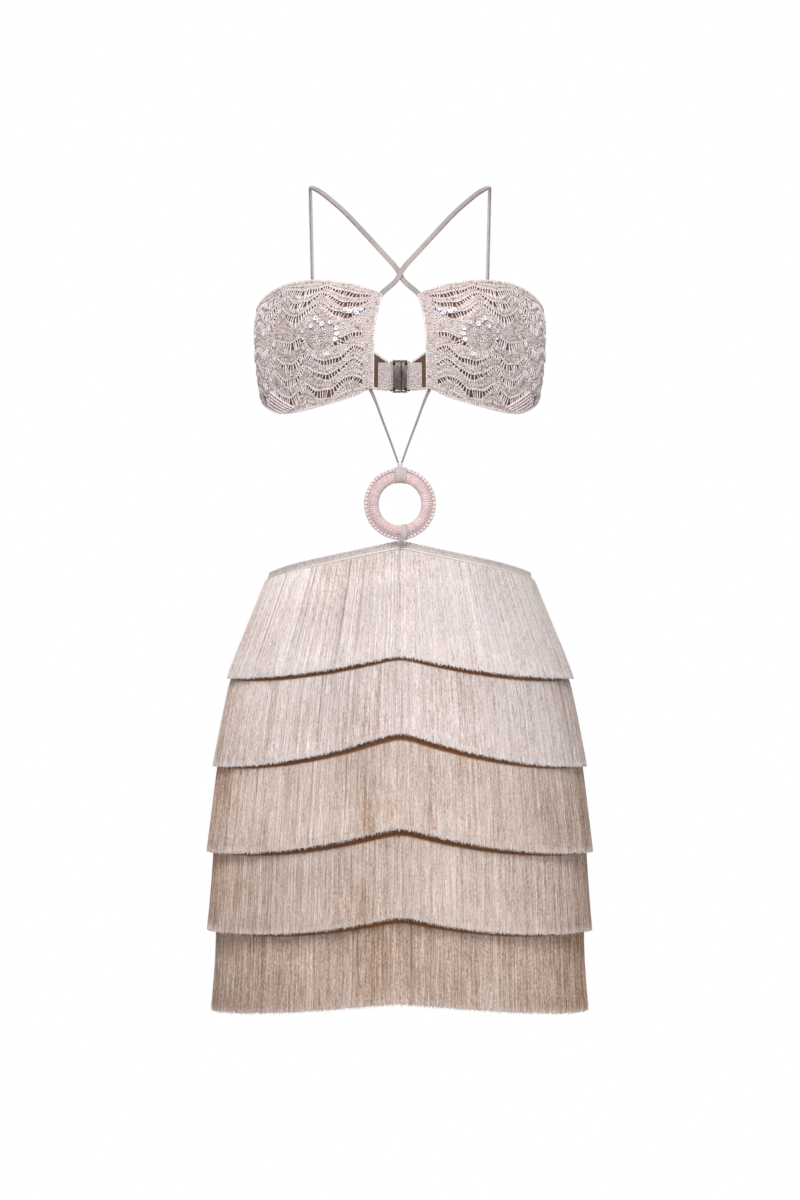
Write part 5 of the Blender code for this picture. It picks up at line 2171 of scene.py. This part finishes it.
def add_tier(tier):
    place = skirt_place(lambda turn: tier_top(tier, turn), lambda turn: hem(tier, turn))
    girth = closed_length(ring_path(place, 0.3, 0.006, 300))
    length = tier_length(tier)
    guide = cloth_guide(place, 300, 24, 0.04, 0.04)
    upper = tier < UPPER_TIERS
    finish, slot = (UPPER_FRINGE, "fringe_upper") if upper else (LOWER_FRINGE, "fringe_lower")
    shell = ribbed_shell("shell", girth, 40 + tier)
    threads, tint = round(girth / THREAD_PITCH), TIER_TINTS_AND_SIDE_SHADES[tier]
    mesh = grow(
        shell, FRINGE, Cloth=guide, Threads=threads, Girth=girth, Length=length, Finish=finish,
        Yarn=THREAD_RADIUS, Top=TIER_TOP_OUTER, Reach=TIERS[tier][3], Depth=TIER_HEM_WALL / 2,
        Locks=LOCK_WIDTH, Sway=SWAY, Uneven=UNEVEN, Seed=10 * tier + 5,
        Head=(TIER_COVER + HEM_SHADOW_SIDES) / length if tier else -1.0,
        Tint=tint[0], Aside=tint[1], Crease=TIER_FOLD_SHADES[tier],
    )
    bpy.data.objects.remove(guide)
    piece = link(f"fringe_{tier + 1}_threads", mesh)
    nodes = (f"fringe_{tier + 1}_front", f"fringe_{tier + 1}_back")
    print(f"tier {tier + 1}: {threads} threads of {length:.3f} m round {girth:.3f} m")
    return place_piece(piece, slot, *nodes)


tiers = [add_tier(tier) for tier in range(len(TIERS))]
turns = np.array([0.0, 45.0, 90.0, 135.0, 180.0])
skirt_height = float(np.mean(tier_top(0, turns) - hem(-1, turns)))
skirt_girth = closed_length(ring_path(skirt_cloth_place(), 0.4, 0.0, 300))
print(f"skirt cut {skirt_girth:.3f} x {skirt_height - SKIRT_HEM_RISE:.3f} m")

# %% [markdown]
# ## Studio
# A pale floor lies where the wearer would stand.  A large soft light above the camera throws
# each hem's shadow on the tier below.  A level one in front reaches what faces down, and metal
# does not mirror it.  Two weak ones open the sides, and a white surround gives the even
# brightness of a shop picture.

# %% Studio
FLOOR_Z, FLOOR_RADIUS, FLOOR_SIDES = -1.40, 2.4, 96
LIT = (0.0, 0.0, -0.45)  # where every light points
COOL = (0.93, 0.92, 1.0)
SURROUND = 0.28  # its strength on the dress; the camera sees it at full strength


def add_light(name, place, size, power, colour=(1.0, 1.0, 1.0)):
    data = bpy.data.lights.new(name, "AREA")
    data.color = colour
    data.shape, data.size, data.energy = "DISK", size, power
    light = bpy.data.objects.new(name, data)
    light.location = place
    direction = np.array(LIT) - np.array(place)
    light.rotation_euler = Vector(direction).to_track_quat("-Z", "Y").to_euler()
    bpy.context.scene.collection.objects.link(light)
    return light


def add_floor():
    angle = np.linspace(0.0, math.tau, FLOOR_SIDES, endpoint=False)
    points = [(FLOOR_RADIUS * math.cos(a), FLOOR_RADIUS * math.sin(a), FLOOR_Z) for a in angle]
    mesh = bpy.data.meshes.new("floor")
    mesh.from_pydata(points, [], [tuple(range(FLOOR_SIDES))])
    material, shader, _ = finish("floor", 0.9)
    shader.inputs["Base Color"].default_value = tone(240, 240, 240)
    mesh.materials.append(material)
    link("floor", mesh)


def add_surround():
    world = bpy.data.worlds.new("surround")
    world.use_nodes = True
    net = Net(world.node_tree)
    background = world.node_tree.nodes["Background"]
    background.inputs["Color"].default_value = (1.0, 1.0, 1.0, 1.0)
    seen = net.make("ShaderNodeLightPath", None, None, "Is Camera Ray")
    net.feed(background.inputs["Strength"], seen * (1.0 - SURROUND) + SURROUND)
    bpy.context.scene.world = world


add_floor()
add_surround()
add_light("key", (-0.10, -2.2, 1.9), 1.3, 82.0)
add_light("front", (0.0, -3.4, -0.5), 1.2, 30.0).visible_glossy = False
add_light("fill_left", (-2.0, -1.4, 1.9), 1.4, 3.0, COOL)
add_light("fill_right", (2.0, -1.4, 1.9), 1.4, 3.5, COOL)
add_light("back", (0.4, 2.4, 1.2), 1.6, 40.0)
print("studio lit")

# %% [markdown]
# ## Closing
# The stitch shapes were only patterns, so they go.

# %% Closing
for shape in (KNIT_STITCH, POST, CHAIN_STITCH, SEQUIN, LOOP_STITCH, SLANT_STITCH):
    bpy.data.objects.remove(shape)
total = sum(len(item.data.loop_triangles) for item in bpy.data.objects if item.type == "MESH")
print("triangles in all:", total)
